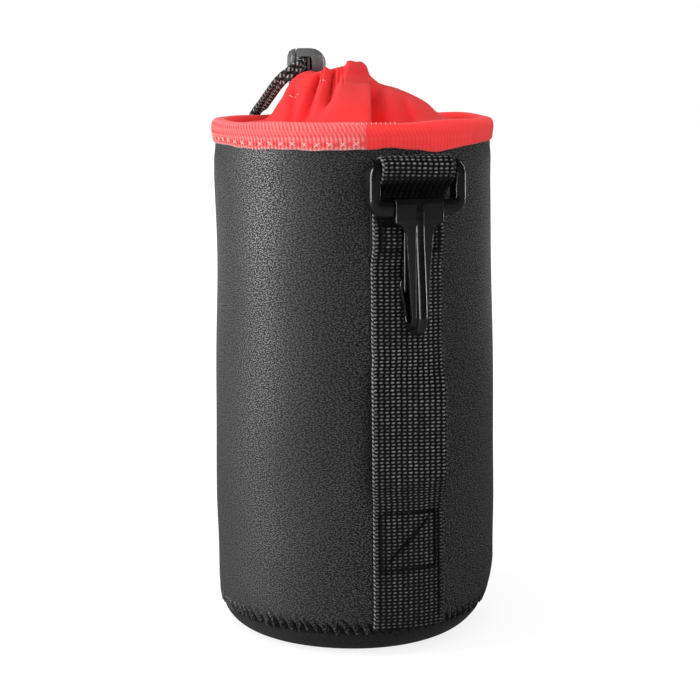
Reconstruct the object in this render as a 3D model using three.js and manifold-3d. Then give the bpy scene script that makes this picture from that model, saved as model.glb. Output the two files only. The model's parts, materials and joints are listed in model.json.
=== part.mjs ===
// Drawstring lens pouch in padded neoprene, with a belt-loop strap and a snap hook.
// Millimetres, +Z up, origin at the centre of the flat base, strap and hook on the -Y side.
import * as THREE from "three";
import { mergeVertices } from "three/addons/utils/BufferGeometryUtils.js";
import Module from "manifold-3d";

const wasm = await Module();
wasm.setup();

const rad = THREE.MathUtils.degToRad;
const smooth = (low, high, value) => THREE.MathUtils.smoothstep(value, low, high);

// Gap kept between pieces that touch
const CLEAR = 0.3;

// Neoprene tube and base
const WALL = 4;
const RIM_RADIUS = 48.5;
const FOOT_FLARE = 1;
const WALL_TOP = 178.2;
const FOOT_ROUND = 17;
const SEAM_ANGLE = rad(24);
const ROUND_STEPS = 48;

// Binding tape folded over the rim, its end lapped over its start
const TAPE = 1.2;
const TAPE_OUTER_DROP = 7.4;
const TAPE_INNER_DROP = 9;
const LAP_STEP = 0.8;
const LAP_ANGLE = rad(-106);
const LAP_RUN = rad(38);

// Gathered collar, drawn to one side of the axis
const CLOTH = 0.8;
const BAND_DROP = 8.7;
const NECK_RADIUS = 12.9;
const NECK_RISE = 10.2;
const HEM_HEIGHT = 5.8;
const NECK_SHIFT = new THREE.Vector2(-8, 4);
const NECK_TILT = 3;
const NECK_PEAK = rad(-40);
const MOUTH_TURN = rad(-21.3);
const PLEATS = 8;
const PLEAT_STEPS = 7;
const HEM_PLEAT = 1;
const SLOPE_PLEAT = 2.4;
const EYELET_ANGLE = rad(125);
const EYELET_WIDTH = 7.4;

// Drawcord and its knot
const CORD = 2.2;
const CORD_PITCH = 2.5;
const CORD_SIDES = 8;
const CORD_BEND = 4.7;
const KNOT_RADIUS = 3.4;
const KNOT_LENGTH = 8.4;

// Spring cord lock: flattened barrel, plunger and coil
const LOCK_POSITION = new THREE.Vector3(-17.2, 15.5, 18.1);
const LOCK_RADIUS = 5.5;
const LOCK_FLATNESS = 0.75;
const LOCK_WALL = 1.5;
const LOCK_MOUTH = 2.5;
const LOCK_DOME = 5.5;
const LOCK_END = 1.8;
const LOCK_LIP = 1.2;
const PLUNGER_TRAVEL = 1.6;
const BUTTON_RADIUS = 4.6;
const BUTTON_THICK = 1.3;
const PLUNGER_TOE = 0.9;
const SPRING_WIRE = 0.45;
const SPRING_RADIUS = 1.8;
const SPRING_LENGTH = 3.8;
const SPRING_CURLS = 3;

// Webbing strap: belt loop below, folded over the hook frame's top bar above
const WEB = 1.4;
const WEB_WIDTH = 25;
const BELT_GAP = 4.8;
const LOOP_LOW = 51;
const LOOP_HIGH = 104;
const LOOP_EASE = 13;
const LOOP_LEAN = 1.5;
const TACK_DROP = 16.3;
const STRAP_LOW_STEPS = 22;
const STRAP_ACROSS = 6;

// Hook frame: a rounded ring whose lower bar carries the hook
const TOP_BAR_DROP = 12.4;
const TOP_BAR_RADIUS = 2.1;
const LOW_BAR_RADIUS = 1.6;
const BAR_PITCH = 12.8;
const FRAME_ARM = 2.9;
const FRAME_DEPTH = 5.4;
const FRAME_ROUND = 5;
const FRAME_SIDE_CLEAR = 0.9;
const FRAME_BELOW = 2.6;
const FRAME_ABOVE = 2.4;
const FRAME_BEVEL = 0.6;

// Snap hook: hub, shouldered shank with a fin, bend and flared nose, and a sprung gate
const HUB_WIDTH = 16.6;
const HUB_WALL = 1.1;
const HUB_FRONT = 3.8;
const HUB_BELOW = 5;
const SHANK = 1.7;
const SHANK_TOP_HALF = 4.5;
const SHANK_LOW_HALF = 2.6;
const SHOULDER_DROP = 10;
const THROAT = 4.4;
const NOSE_CLEAR = 0.45;
const BEND_DROP = 36;
const FIN_WIDTH = 2.8;
const FIN_BEVEL = 0.7;
const FIN_DEPTH = 3.5;
const NOSE_TIP_DROP = 23.5;
const NOSE_HALF = 4.4;
const GATE = 1.4;
const GATE_HALF = 3.5;
const GATE_TIP_DROP = 28.2;

// Values that follow from the sizes above
const rimTop = WALL_TOP + CLEAR + TAPE;
const footRadius = RIM_RADIUS + FOOT_FLARE;
const footCentre = footRadius - FOOT_ROUND;
const rimInner = RIM_RADIUS - WALL - CLEAR - TAPE;
const rimOuter = RIM_RADIUS + CLEAR + TAPE;
const lowBarZ = WALL_TOP - TOP_BAR_DROP - BAR_PITCH;
const topBarZ = WALL_TOP - TOP_BAR_DROP;
const hubRadius = LOW_BAR_RADIUS + CLEAR + HUB_WALL;
const hubBore = LOW_BAR_RADIUS + CLEAR;

/** Outer radius of the neoprene tube at a height. */
function bodyOut(z) {
  if (z >= FOOT_ROUND) {
    return THREE.MathUtils.lerp(footRadius, RIM_RADIUS, (z - FOOT_ROUND) / (WALL_TOP - FOOT_ROUND));
  }
  return footCentre + Math.sqrt(FOOT_ROUND ** 2 - (FOOT_ROUND - z) ** 2);
}

const doubledOut = bodyOut(lowBarZ) + 2 * (CLEAR + WEB);
const barOut = doubledOut + CLEAR + hubRadius;
const bendLow = lowBarZ - BEND_DROP - THROAT / 2 - SHANK;
const noseBack = barOut - (bodyOut(bendLow) + CLEAR + WEB + NOSE_CLEAR);

/** Keeps positions only, merges shared points, drops empty triangles and turns faces outward. */
function closedBody(geometry) {
  const bare = new THREE.BufferGeometry();
  bare.setAttribute("position", geometry.getAttribute("position").clone());
  if (geometry.index) {
    bare.setIndex(geometry.index.clone());
  }
  const merged = mergeVertices(bare, 1e-4);
  const position = merged.getAttribute("position");
  const corner = [new THREE.Vector3(), new THREE.Vector3(), new THREE.Vector3()];
  const faces = [];
  let volume = 0;
  for (let i = 0; i < merged.index.count; i += 3) {
    const face = [0, 1, 2].map((k) => merged.index.getX(i + k));
    if (new Set(face).size === 3) {
      face.forEach((vertex, k) => corner[k].fromBufferAttribute(position, vertex));
      volume += corner[0].dot(corner[1].clone().cross(corner[2]));
      faces.push(face);
    }
  }
  merged.setIndex(faces.flatMap((face) => (volume < 0 ? [face[0], face[2], face[1]] : face)));
  merged.computeVertexNormals();
  return merged;
}

function toSolid(geometry) {
  const body = closedBody(geometry);
  return new wasm.Manifold(new wasm.Mesh({
    numProp: 3,
    vertProperties: new Float32Array(body.getAttribute("position").array),
    triVerts: new Uint32Array(body.index.array),
  }));
}

function fromSolid(solid) {
  const mesh = solid.getMesh();
  const geometry = new THREE.BufferGeometry();
  geometry.setAttribute("position", new THREE.BufferAttribute(new Float32Array(mesh.vertProperties), 3));
  geometry.setIndex(Array.from(mesh.triVerts));
  return closedBody(geometry);
}

function union(...geometries) {
  return fromSolid(geometries.map(toSolid).reduce((whole, piece) => whole.add(piece)));
}

function cut(geometry, ...tools) {
  return fromSolid(tools.map(toSolid).reduce((whole, tool) => whole.subtract(tool), toSolid(geometry)));
}

/** Revolves a closed outline of [radius, height] points about the Z axis. */
function revolve(outline, steps) {
  const points = [...outline, outline[0]].map(([radius, height]) => new THREE.Vector2(radius, height));
  return closedBody(new THREE.LatheGeometry(points, steps).rotateX(Math.PI / 2));
}

/** Extrudes an outline drawn as (outward, height) across the strap's width, centred on X = 0. */
function extrudeAcross(shape, width, bevel = 0) {
  const geometry = new THREE.ExtrudeGeometry(shape, {
    depth: width - 2 * bevel,
    bevelEnabled: bevel > 0,
    bevelThickness: bevel,
    bevelSize: bevel,
    bevelOffset: -bevel,
    bevelSegments: 1,
    curveSegments: 8,
  });
  geometry.translate(0, 0, bevel - width / 2);
  const basis = new THREE.Matrix4().makeBasis(
    new THREE.Vector3(0, -1, 0), new THREE.Vector3(0, 0, 1), new THREE.Vector3(-1, 0, 0));
  return closedBody(geometry.applyMatrix4(basis));
}

/** Extrudes an outline drawn as (side, height) outward along -Y, starting at a given distance out. */
function extrudeOutward(shape, from, thickness, bevel = 0) {
  const geometry = new THREE.ExtrudeGeometry(shape, {
    depth: thickness - 2 * bevel,
    bevelEnabled: bevel > 0,
    bevelThickness: bevel,
    bevelSize: bevel,
    bevelOffset: -bevel,
    bevelSegments: 2,
    curveSegments: 6,
  });
  geometry.translate(0, 0, from + bevel);
  const basis = new THREE.Matrix4().makeBasis(
    new THREE.Vector3(1, 0, 0), new THREE.Vector3(0, 0, 1), new THREE.Vector3(0, -1, 0));
  return closedBody(geometry.applyMatrix4(basis));
}

/** A round bar along X at a distance out and a height. */
function barAlongX(radius, length, out, z) {
  const geometry = new THREE.CylinderGeometry(radius, radius, length, 16);
  return closedBody(geometry.rotateZ(Math.PI / 2).translate(0, -out, z));
}

/** Joins rings of points, either into a closed loop or with ladder caps at both ends. */
function loft(rings, looped) {
  const count = rings[0].length;
  const index = [];
  const quad = (a, b, c, d) => index.push(a, b, c, a, c, d);
  const spans = looped ? rings.length : rings.length - 1;
  for (let i = 0; i < spans; i += 1) {
    const here = i * count;
    const next = ((i + 1) % rings.length) * count;
    for (let k = 0; k < count; k += 1) {
      const other = (k + 1) % count;
      quad(here + k, here + other, next + other, next + k);
    }
  }
  if (!looped) {
    const last = (rings.length - 1) * count;
    for (let k = 0; k < count / 2 - 1; k += 1) {
      quad(k, count - 1 - k, count - 2 - k, k + 1);
      quad(last + k, last + k + 1, last + count - 2 - k, last + count - 1 - k);
    }
  }
  const geometry = new THREE.BufferGeometry();
  geometry.setAttribute("position", new THREE.Float32BufferAttribute(rings.flat().flatMap((p) => p.toArray()), 3));
  geometry.setIndex(index);
  return closedBody(geometry);
}

/** A round tube along a curve. */
function tube(curve, diameter, sides, steps) {
  const section = new THREE.Shape();
  for (let k = 0; k < sides; k += 1) {
    const angle = (2 * Math.PI * k) / sides;
    const point = [Math.cos(angle) * diameter / 2, Math.sin(angle) * diameter / 2];
    if (k === 0) {
      section.moveTo(...point);
    } else {
      section.lineTo(...point);
    }
  }
  section.closePath();
  return closedBody(new THREE.ExtrudeGeometry(section, { steps, extrudePath: curve, bevelEnabled: false }));
}

/** A rectangle with rounded corners, centred on (x, y). */
function roundedRect(x, y, width, height, radius) {
  const shape = new THREE.Shape();
  const [left, right, low, high] = [x - width / 2, x + width / 2, y - height / 2, y + height / 2];
  shape.moveTo(left + radius, low);
  shape.lineTo(right - radius, low);
  shape.absarc(right - radius, low + radius, radius, -Math.PI / 2, 0);
  shape.lineTo(right, high - radius);
  shape.absarc(right - radius, high - radius, radius, 0, Math.PI / 2);
  shape.lineTo(left + radius, high);
  shape.absarc(left + radius, high - radius, radius, Math.PI / 2, Math.PI);
  shape.lineTo(left, low + radius);
  shape.absarc(left + radius, low + radius, radius, Math.PI, 1.5 * Math.PI);
  return shape;
}

function makeMesh(name, geometry, color, roughness, metalness = 0) {
  const mesh = new THREE.Mesh(geometry, new THREE.MeshStandardMaterial({ color, roughness, metalness }));
  mesh.name = name;
  return mesh;
}

/** Points on the rounded foot, from one angle below the horizontal to another. */
function footArc(radius, from, to, steps) {
  return Array.from({ length: steps + 1 }, (_, i) => {
    const angle = from + ((to - from) * i) / steps;
    return [footCentre + radius * Math.cos(angle), FOOT_ROUND - radius * Math.sin(angle)];
  });
}

function neopreneBody() {
  return revolve([
    ...footArc(FOOT_ROUND, SEAM_ANGLE, 0, 3),
    [RIM_RADIUS, WALL_TOP],
    [RIM_RADIUS - WALL, WALL_TOP],
    ...footArc(FOOT_ROUND - WALL, 0, SEAM_ANGLE, 3),
  ], ROUND_STEPS);
}

function baseDisc() {
  const start = SEAM_ANGLE + CLEAR / (FOOT_ROUND - WALL);
  return revolve([
    ...footArc(FOOT_ROUND, start, Math.PI / 2, 6),
    [0, 0],
    [0, WALL],
    ...footArc(FOOT_ROUND - WALL, Math.PI / 2, start, 5),
  ], ROUND_STEPS);
}

/** U-shaped tape section all round; its outer leaf thickens where the end laps over the start. */
function rimBinding() {
  const rings = [];
  for (let i = 0; i < ROUND_STEPS; i += 1) {
    const angle = (2 * Math.PI * i) / ROUND_STEPS;
    const past = THREE.MathUtils.euclideanModulo(angle - LAP_ANGLE, 2 * Math.PI);
    const lap = LAP_STEP * (1 - smooth(0, LAP_RUN, past));
    const section = [
      [RIM_RADIUS + CLEAR, WALL_TOP - TAPE_OUTER_DROP],
      [rimOuter + lap, WALL_TOP - TAPE_OUTER_DROP],
      [rimOuter + lap, WALL_TOP - TAPE],
      [rimOuter - TAPE + lap / 2, rimTop - TAPE / 4],
      [rimOuter - 2 * TAPE, rimTop],
      [rimInner + 2 * TAPE, rimTop],
      [rimInner + TAPE, rimTop - TAPE / 4],
      [rimInner, WALL_TOP - TAPE],
      [rimInner, WALL_TOP - TAPE_INNER_DROP],
      [rimInner + TAPE, WALL_TOP - TAPE_INNER_DROP],
      [rimInner + TAPE, WALL_TOP + CLEAR],
      [RIM_RADIUS + CLEAR, WALL_TOP + CLEAR],
    ];
    rings.push(section.map(([radius, z]) => new THREE.Vector3(radius * Math.cos(angle), radius * Math.sin(angle), z)));
  }
  return loft(rings, true);
}

/** Places a collar point: pleated in radius, shifted and tilted with the neck by its share. */
function collarPoint(radius, z, angle, pleat, share) {
  const r = radius + pleat * Math.cos(PLEATS * (angle - EYELET_ANGLE));
  return new THREE.Vector3(
    NECK_SHIFT.x * share + r * Math.cos(angle),
    NECK_SHIFT.y * share + r * Math.sin(angle),
    z + NECK_TILT * share * Math.cos(angle - NECK_PEAK));
}

const hemLow = rimTop + NECK_RISE;
const hemTop = hemLow + HEM_HEIGHT;
const casingInner = NECK_RADIUS - CLOTH - CORD - 4 * CLEAR;
const casingMiddle = NECK_RADIUS - CLOTH - CORD / 2 - 2 * CLEAR;
const casingZ = hemLow + HEM_HEIGHT / 2;

/** Cloth sewn inside the rim, rising in pleats to a hem that is folded round the cord. */
function drawstringCollar() {
  const band = rimInner - CLEAR;
  const between = (share) => NECK_RADIUS + (band - NECK_RADIUS) * share;
  const outline = [
    [band, rimTop - BAND_DROP, 0, 0],
    [band, rimTop - 3.9, 0, 0],
    [between(0.85), rimTop - 1.7, 0.8, 0],
    [between(0.58), rimTop - 0.4, SLOPE_PLEAT, 0],
    [between(0.38), rimTop + 5.5, SLOPE_PLEAT, 0.25],
    [between(0.09), hemLow - 1.8, SLOPE_PLEAT * 0.8, 0.9],
    [NECK_RADIUS, hemLow, HEM_PLEAT, 1],
    [NECK_RADIUS, hemTop - 1.8, HEM_PLEAT, 1],
    [casingMiddle, hemTop, HEM_PLEAT, 1],
    [casingInner - CLOTH, hemTop - 1.8, HEM_PLEAT, 1],
    [casingInner - CLOTH * 0.4, hemLow - 0.8, HEM_PLEAT, 1],
    [casingInner + CLOTH * 0.6, hemLow - 1, HEM_PLEAT, 1],
    [casingInner, hemTop - 2.2, HEM_PLEAT, 1],
    [casingMiddle, hemTop - CLOTH, HEM_PLEAT, 1],
    [NECK_RADIUS - CLOTH, hemTop - 2.2, HEM_PLEAT, 1],
    [NECK_RADIUS - CLOTH, hemLow + 0.3, HEM_PLEAT, 1],
    [between(0.09) - CLOTH * 0.6, hemLow - 1.8 - CLOTH * 0.8, SLOPE_PLEAT * 0.8, 0.9],
    [between(0.38) - CLOTH * 0.6, rimTop + 5.5 - CLOTH * 0.8, SLOPE_PLEAT, 0.25],
    [between(0.58) - CLOTH * 0.4, rimTop - 0.4 - CLOTH, SLOPE_PLEAT, 0],
    [between(0.85) - CLOTH * 0.2, rimTop - 1.7 - CLOTH, 0.8, 0],
    [band - CLOTH, rimTop - 3.9 - CLOTH * 0.6, 0, 0],
    [band - CLOTH, rimTop - BAND_DROP, 0, 0],
  ];
  const steps = PLEATS * PLEAT_STEPS;
  const rings = Array.from({ length: steps }, (_, i) => {
    const angle = (2 * Math.PI * i) / steps;
    return outline.map(([radius, z, pleat, share]) => collarPoint(radius, z, angle, pleat, share));
  });
  const height = CORD + 4 * CLEAR;
  const eyelet = new THREE.BoxGeometry(CORD + CLOTH + 4 * HEM_PLEAT, EYELET_WIDTH, height);
  eyelet.rotateZ(EYELET_ANGLE);
  const middle = collarPoint(NECK_RADIUS, casingZ, EYELET_ANGLE, HEM_PLEAT / 2, 1);
  eyelet.translate(middle.x, middle.y, middle.z);
  return cut(loft(rings, true), eyelet);
}

// Where a strand in the hem starts to turn out towards the eyelet
const turnAside = CORD_PITCH / 2 + CORD_BEND;
const turnReach = Math.sqrt(casingMiddle ** 2 - turnAside ** 2);
const loopOpening = Math.asin(turnAside / casingMiddle) + (2 * CLEAR) / casingMiddle;

/** Cord held in the hem, from one side of the eyelet round to the other. */
function drawcordLoop() {
  const steps = 40;
  const points = Array.from({ length: steps + 1 }, (_, i) => {
    const angle = EYELET_ANGLE + loopOpening + ((2 * Math.PI - 2 * loopOpening) * i) / steps;
    return collarPoint(casingMiddle, casingZ, angle, HEM_PLEAT, 1);
  });
  return tube(new THREE.CatmullRomCurve3(points), CORD, CORD_SIDES, steps);
}

// Middle of the doubled cord from the lock over the rim and down behind the pouch,
// as side, back and height, each with the direction of one strand from the middle.
const CORD_ROUTE = [
  [-17.2, 19.4, 197.8, 0, 0, 1],
  [-17.2, 15.5, 197.8, 0, 0, 1],
  [-17.2, 11.6, 197.8, 0, 0, 1],
  [-17.7, 8.5, 197.5, -0.15, 0, 0.99],
  [-19.3, 6, 196.5, -0.36, 0, 0.93],
  [-21.8, 5, 194.8, -0.55, 0, 0.83],
  [-24.2, 5.9, 193, -0.64, 0, 0.77],
  [-26, 8.7, 191.2, -0.68, 0, 0.73],
  [-27.7, 13.4, 189.2, -0.74, 0, 0.67],
  [-29.4, 19.2, 187, -0.77, 0, 0.64],
  [-31.1, 25, 184.9, -0.8, 0, 0.6],
  [-32.7, 30.5, 182.9, -0.82, -0.1, 0.42],
  [-34.5, 35, 181.2, -0.85, -0.42, 0],
  [-36.3, 37.4, 178.6, -0.71, -0.7, 0],
  [-37.3, 38.1, 173.5, -0.71, -0.7, 0],
  [-37.3, 38.1, 160, -0.71, -0.7, 0],
  [-37.3, 38.1, 146, -0.71, -0.7, 0],
  [-37.3, 38.1, 132, -0.71, -0.7, 0],
  [-37.3, 38.1, 119, -0.71, -0.7, 0],
  [-37.3, 38.1, 106, -0.71, -0.7, 0],
];
// Each strand's way from the eyelet up behind the lock.
const UPPER_RISE = [
  [-19, 18.2, 189.7],
  [-20.9, 21.9, 189.7],
  [-21.6, 24.8, 190.6],
  [-21.6, 26.5, 193],
  [-20.9, 26.5, 195.8],
  [-19.6, 24.8, 198.1],
  [-18.2, 22, 199],
];
const LOWER_RISE = [
  [-16.2, 19, 189.1],
  [-17.5, 22.7, 187.5],
  [-18, 25.6, 188.3],
  [-18.2, 27.4, 190.6],
  [-18.1, 27.4, 193.5],
  [-17.8, 25.7, 195.7],
  [-17.4, 23, 196.6],
];

/** A strand's turn from along the hem to straight out of the eyelet. */
function eyeletTurn(side) {
  return [0, 30, 60, 90].map((degrees) => {
    const reach = turnReach + CORD_BEND * (1 - Math.cos(rad(degrees)));
    const aside = turnAside - CORD_BEND * Math.sin(rad(degrees));
    const angle = EYELET_ANGLE + side * Math.atan2(aside, reach);
    return collarPoint(Math.hypot(reach, aside), casingZ, angle, 0, 1);
  });
}

/** One free strand: out of the eyelet, through the lock, over the rim and down to the knot. */
function drawcordTail(side, rise) {
  const route = CORD_ROUTE.map(([x, y, z, dx, dy, dz]) => {
    const offset = new THREE.Vector3(dx, dy, dz).normalize().multiplyScalar(side * CORD_PITCH / 2);
    return new THREE.Vector3(x, y, z).add(offset);
  });
  const points = [...eyeletTurn(side), ...rise.map((p) => new THREE.Vector3(...p)), ...route];
  return tube(new THREE.CatmullRomCurve3(points), CORD, CORD_SIDES, 64);
}

function drawcordKnot() {
  const [x, y, z] = CORD_ROUTE[CORD_ROUTE.length - 1];
  const geometry = new THREE.SphereGeometry(KNOT_RADIUS, 16, 10).rotateX(Math.PI / 2);
  geometry.scale(1, 1, KNOT_LENGTH / (2 * KNOT_RADIUS));
  return closedBody(geometry.translate(x, y, z - KNOT_LENGTH / 2 - CLEAR));
}

const lockBore = LOCK_RADIUS - LOCK_WALL;
const cordHole = CORD + 2 * CLEAR + PLUNGER_TRAVEL;
const holeHeight = CORD + CORD_PITCH + 2 * CLEAR;
const cordAt = LOCK_LIP + CORD / 2 + CLEAR - LOCK_MOUTH;
const plungerToe = cordAt + CORD / 2 + CLEAR + PLUNGER_TOE;
const lockEnd = plungerToe + SPRING_LENGTH + LOCK_END;

/** Turns a piece revolved about Z into one about the lock's own axis, flattened front to back. */
function alongLock(geometry) {
  return closedBody(geometry.rotateY(Math.PI / 2).scale(1, LOCK_FLATNESS, 1));
}

/** The hole that the cord passes through, cut from front to back. */
function lockHole(from) {
  const shape = roundedRect(from + cordHole / 2, 0, cordHole, holeHeight, CORD / 2);
  return extrudeOutward(shape, -2 * LOCK_RADIUS, 4 * LOCK_RADIUS);
}

function lockBarrel() {
  const dome = Array.from({ length: 6 }, (_, i) => {
    const angle = (Math.PI / 2) * (i / 5);
    return [LOCK_RADIUS * Math.sin(angle), lockEnd - LOCK_DOME * (1 - Math.cos(angle))];
  });
  const barrel = alongLock(revolve([
    ...dome,
    [LOCK_RADIUS, -LOCK_MOUTH + LOCK_LIP / 2],
    [LOCK_RADIUS - LOCK_LIP / 2, -LOCK_MOUTH],
    [lockBore, -LOCK_MOUTH],
    [lockBore, plungerToe + PLUNGER_TRAVEL + CLEAR],
    [(SPRING_RADIUS + SPRING_WIRE) / LOCK_FLATNESS, lockEnd - LOCK_END],
    [0, lockEnd - LOCK_END],
  ], 24));
  return cut(barrel, lockHole(cordAt - CORD / 2 - CLEAR));
}

function lockPlunger() {
  const stem = lockBore - CLEAR - 0.05;
  const under = -LOCK_MOUTH - PLUNGER_TRAVEL - CLEAR;
  const plunger = alongLock(revolve([
    [0, under - BUTTON_THICK],
    [BUTTON_RADIUS * 0.6, under - BUTTON_THICK * 0.9],
    [BUTTON_RADIUS, under - BUTTON_THICK * 0.4],
    [BUTTON_RADIUS, under],
    [stem, under],
    [stem, plungerToe],
    [0, plungerToe],
  ], 24));
  return cut(plunger, lockHole(cordAt - CORD / 2 - CLEAR - PLUNGER_TRAVEL));
}

/** Coil between the plunger's toe and the closed end, with the least gap between its curls printed. */
function lockSpring() {
  const seat = plungerToe + SPRING_WIRE / 2 + CLEAR / 3;
  const rise = SPRING_LENGTH - SPRING_WIRE - CLEAR;
  const steps = SPRING_CURLS * 8;
  const points = Array.from({ length: steps + 1 }, (_, i) => {
    const angle = (2 * Math.PI * i) / 8;
    const reach = SPRING_RADIUS;
    return new THREE.Vector3(seat + (rise * i) / steps, reach * Math.cos(angle), reach * Math.sin(angle));
  });
  let gap = Infinity;
  points.forEach((p, i) => points.slice(i + 5).forEach((q) => {
    gap = Math.min(gap, p.distanceTo(q) - SPRING_WIRE);
  }));
  console.log(`least gap between spring curls ${gap.toFixed(2)} mm`);
  return tube(new THREE.CatmullRomCurve3(points), SPRING_WIRE, 5, steps);
}

/** How far the slack belt loop stands off at a height, from 0 where it is sewn to 1. */
function loopBow(z) {
  return smooth(LOOP_LOW, LOOP_LOW + LOOP_EASE, z) * (1 - smooth(LOOP_HIGH - LOOP_EASE, LOOP_HIGH, z));
}

/** Middle line of the strap as distance out, height and how far it curves round the body. */
function strapLine() {
  const seated = (z) => bodyOut(z) + CLEAR + WEB / 2;
  const seamZ = FOOT_ROUND - FOOT_ROUND * Math.sin(SEAM_ANGLE);
  const tackLow = lowBarZ - TACK_DROP;
  const points = [];
  const lowEnd = tackLow - 3;
  for (let i = 0; i <= STRAP_LOW_STEPS; i += 1) {
    const z = THREE.MathUtils.lerp(seamZ + 2, lowEnd, (i / STRAP_LOW_STEPS) ** 1.25);
    points.push([seated(z) + (BELT_GAP - CLEAR) * loopBow(z), z, 1 - loopBow(z)]);
  }
  const doubled = (z) => seated(z) + WEB + CLEAR;
  const wrap = TOP_BAR_RADIUS + CLEAR + WEB / 2;
  points.push([doubled(tackLow + 3), tackLow + 3, 1]);
  points.push([doubled(lowBarZ - 5), lowBarZ - 5, 1]);
  points.push([doubled(lowBarZ), lowBarZ, 0.9]);
  points.push([doubled(lowBarZ + 3) + 0.1, lowBarZ + 3, 0.6]);
  points.push([barOut - 1.7, lowBarZ + BAR_PITCH / 2, 0.25]);
  points.push([barOut + wrap * 0.6, topBarZ - wrap - 0.9, 0]);
  for (let i = 0; i <= 8; i += 1) {
    const angle = rad(-25 + (190 * i) / 8);
    points.push([barOut + wrap * Math.cos(angle), topBarZ + wrap * Math.sin(angle), 0]);
  }
  points.push([seated(topBarZ - BAR_PITCH / 2) + 0.6, topBarZ - BAR_PITCH / 2, 0.4]);
  points.push([seated(lowBarZ + 2), lowBarZ + 2, 0.9]);
  points.push([seated(lowBarZ - 4), lowBarZ - 4, 1]);
  points.push([seated(tackLow), tackLow, 1]);
  return new THREE.CatmullRomCurve3(points.map((p) => new THREE.Vector3(...p)));
}

/** Webbing of even thickness along its middle line, curved across its width where it lies on the body. */
function beltStrap() {
  const line = strapLine();
  const last = line.points.length - 1;
  const stops = line.points.flatMap((_, i) => (i < STRAP_LOW_STEPS || i === last ? [i] : [i, i + 0.5]));
  const rings = stops.map((stop) => {
    const at = line.getPoint(stop / last);
    const ahead = line.getTangent(stop / last);
    const normal = new THREE.Vector2(ahead.y, -ahead.x).normalize();
    const lean = LOOP_LEAN * loopBow(at.y);
    const edge = (side) => Array.from({ length: STRAP_ACROSS + 1 }, (__, k) => {
      const x = WEB_WIDTH * (k / STRAP_ACROSS - 0.5);
      const sag = at.z * (at.x - Math.sqrt(at.x ** 2 - x ** 2));
      const out = at.x - sag + (side * normal.x * WEB) / 2;
      return new THREE.Vector3(x - lean, -out, at.y + (side * normal.y * WEB) / 2);
    });
    return [...edge(1), ...edge(-1).reverse()];
  });
  return loft(rings, false);
}

function hookFrame() {
  const inner = WEB_WIDTH / 2 + FRAME_SIDE_CLEAR;
  const low = lowBarZ - FRAME_BELOW;
  const high = topBarZ + FRAME_ABOVE;
  const middle = (low + high) / 2;
  const ring = roundedRect(0, middle, 2 * (inner + FRAME_ARM), high - low, FRAME_ROUND);
  const windowLow = lowBarZ + LOW_BAR_RADIUS;
  const windowHigh = topBarZ - TOP_BAR_RADIUS;
  ring.holes.push(roundedRect(0, (windowLow + windowHigh) / 2, 2 * inner, windowHigh - windowLow, 1.5));
  const body = extrudeOutward(ring, barOut - FRAME_DEPTH / 2, FRAME_DEPTH, FRAME_BEVEL);
  const hubRoom = new THREE.BoxGeometry(HUB_WIDTH + 2 * CLEAR, 3 * FRAME_DEPTH, BAR_PITCH);
  hubRoom.translate(0, -barOut, windowLow - BAR_PITCH / 2 + CLEAR);
  const foldRoom = new THREE.BoxGeometry(2 * inner, 3 * FRAME_DEPTH, BAR_PITCH);
  foldRoom.translate(0, -barOut, windowHigh + BAR_PITCH / 2 - CLEAR);
  return union(
    cut(body, hubRoom, foldRoom),
    barAlongX(TOP_BAR_RADIUS, 2 * inner + FRAME_ARM, barOut, topBarZ),
    barAlongX(LOW_BAR_RADIUS, HUB_WIDTH + 2 * FRAME_ARM, barOut, lowBarZ));
}

// Hook sizes measured outward and down from the lower bar's axis
const shankBack = THROAT + SHANK - noseBack;
const shankFront = shankBack + SHANK;
const bendRadius = THROAT / 2 + SHANK / 2;
const bendOut = shankBack - THROAT / 2;

function hookHub() {
  const shape = new THREE.Shape();
  shape.moveTo(0, hubRadius);
  shape.lineTo(HUB_FRONT - 1.8, hubRadius);
  shape.quadraticCurveTo(HUB_FRONT, hubRadius, HUB_FRONT, hubRadius - 1.8);
  shape.lineTo(HUB_FRONT, -HUB_BELOW);
  shape.lineTo(shankBack, -HUB_BELOW);
  shape.lineTo(0, -hubRadius);
  shape.absarc(0, 0, hubRadius, -Math.PI / 2, Math.PI / 2, true);
  const bore = new THREE.Path();
  bore.absarc(0, 0, hubBore, 0, 2 * Math.PI);
  shape.holes.push(bore);
  return extrudeAcross(shape, HUB_WIDTH);
}

/** Flat shank with hollow shoulders under the hub, narrowing down to the bend. */
function hookShank() {
  const top = -HUB_BELOW + 0.4;
  const shape = new THREE.Shape();
  shape.moveTo(-HUB_WIDTH / 2, top);
  shape.lineTo(HUB_WIDTH / 2, top);
  shape.lineTo(HUB_WIDTH / 2, -HUB_BELOW);
  shape.quadraticCurveTo(SHANK_TOP_HALF, -HUB_BELOW - 0.6, SHANK_TOP_HALF, -SHOULDER_DROP);
  shape.lineTo(SHANK_LOW_HALF, -BEND_DROP);
  shape.lineTo(-SHANK_LOW_HALF, -BEND_DROP);
  shape.lineTo(-SHANK_TOP_HALF, -SHOULDER_DROP);
  shape.quadraticCurveTo(-SHANK_TOP_HALF, -HUB_BELOW - 0.6, -HUB_WIDTH / 2, -HUB_BELOW);
  return extrudeOutward(shape, shankBack, SHANK);
}

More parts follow.
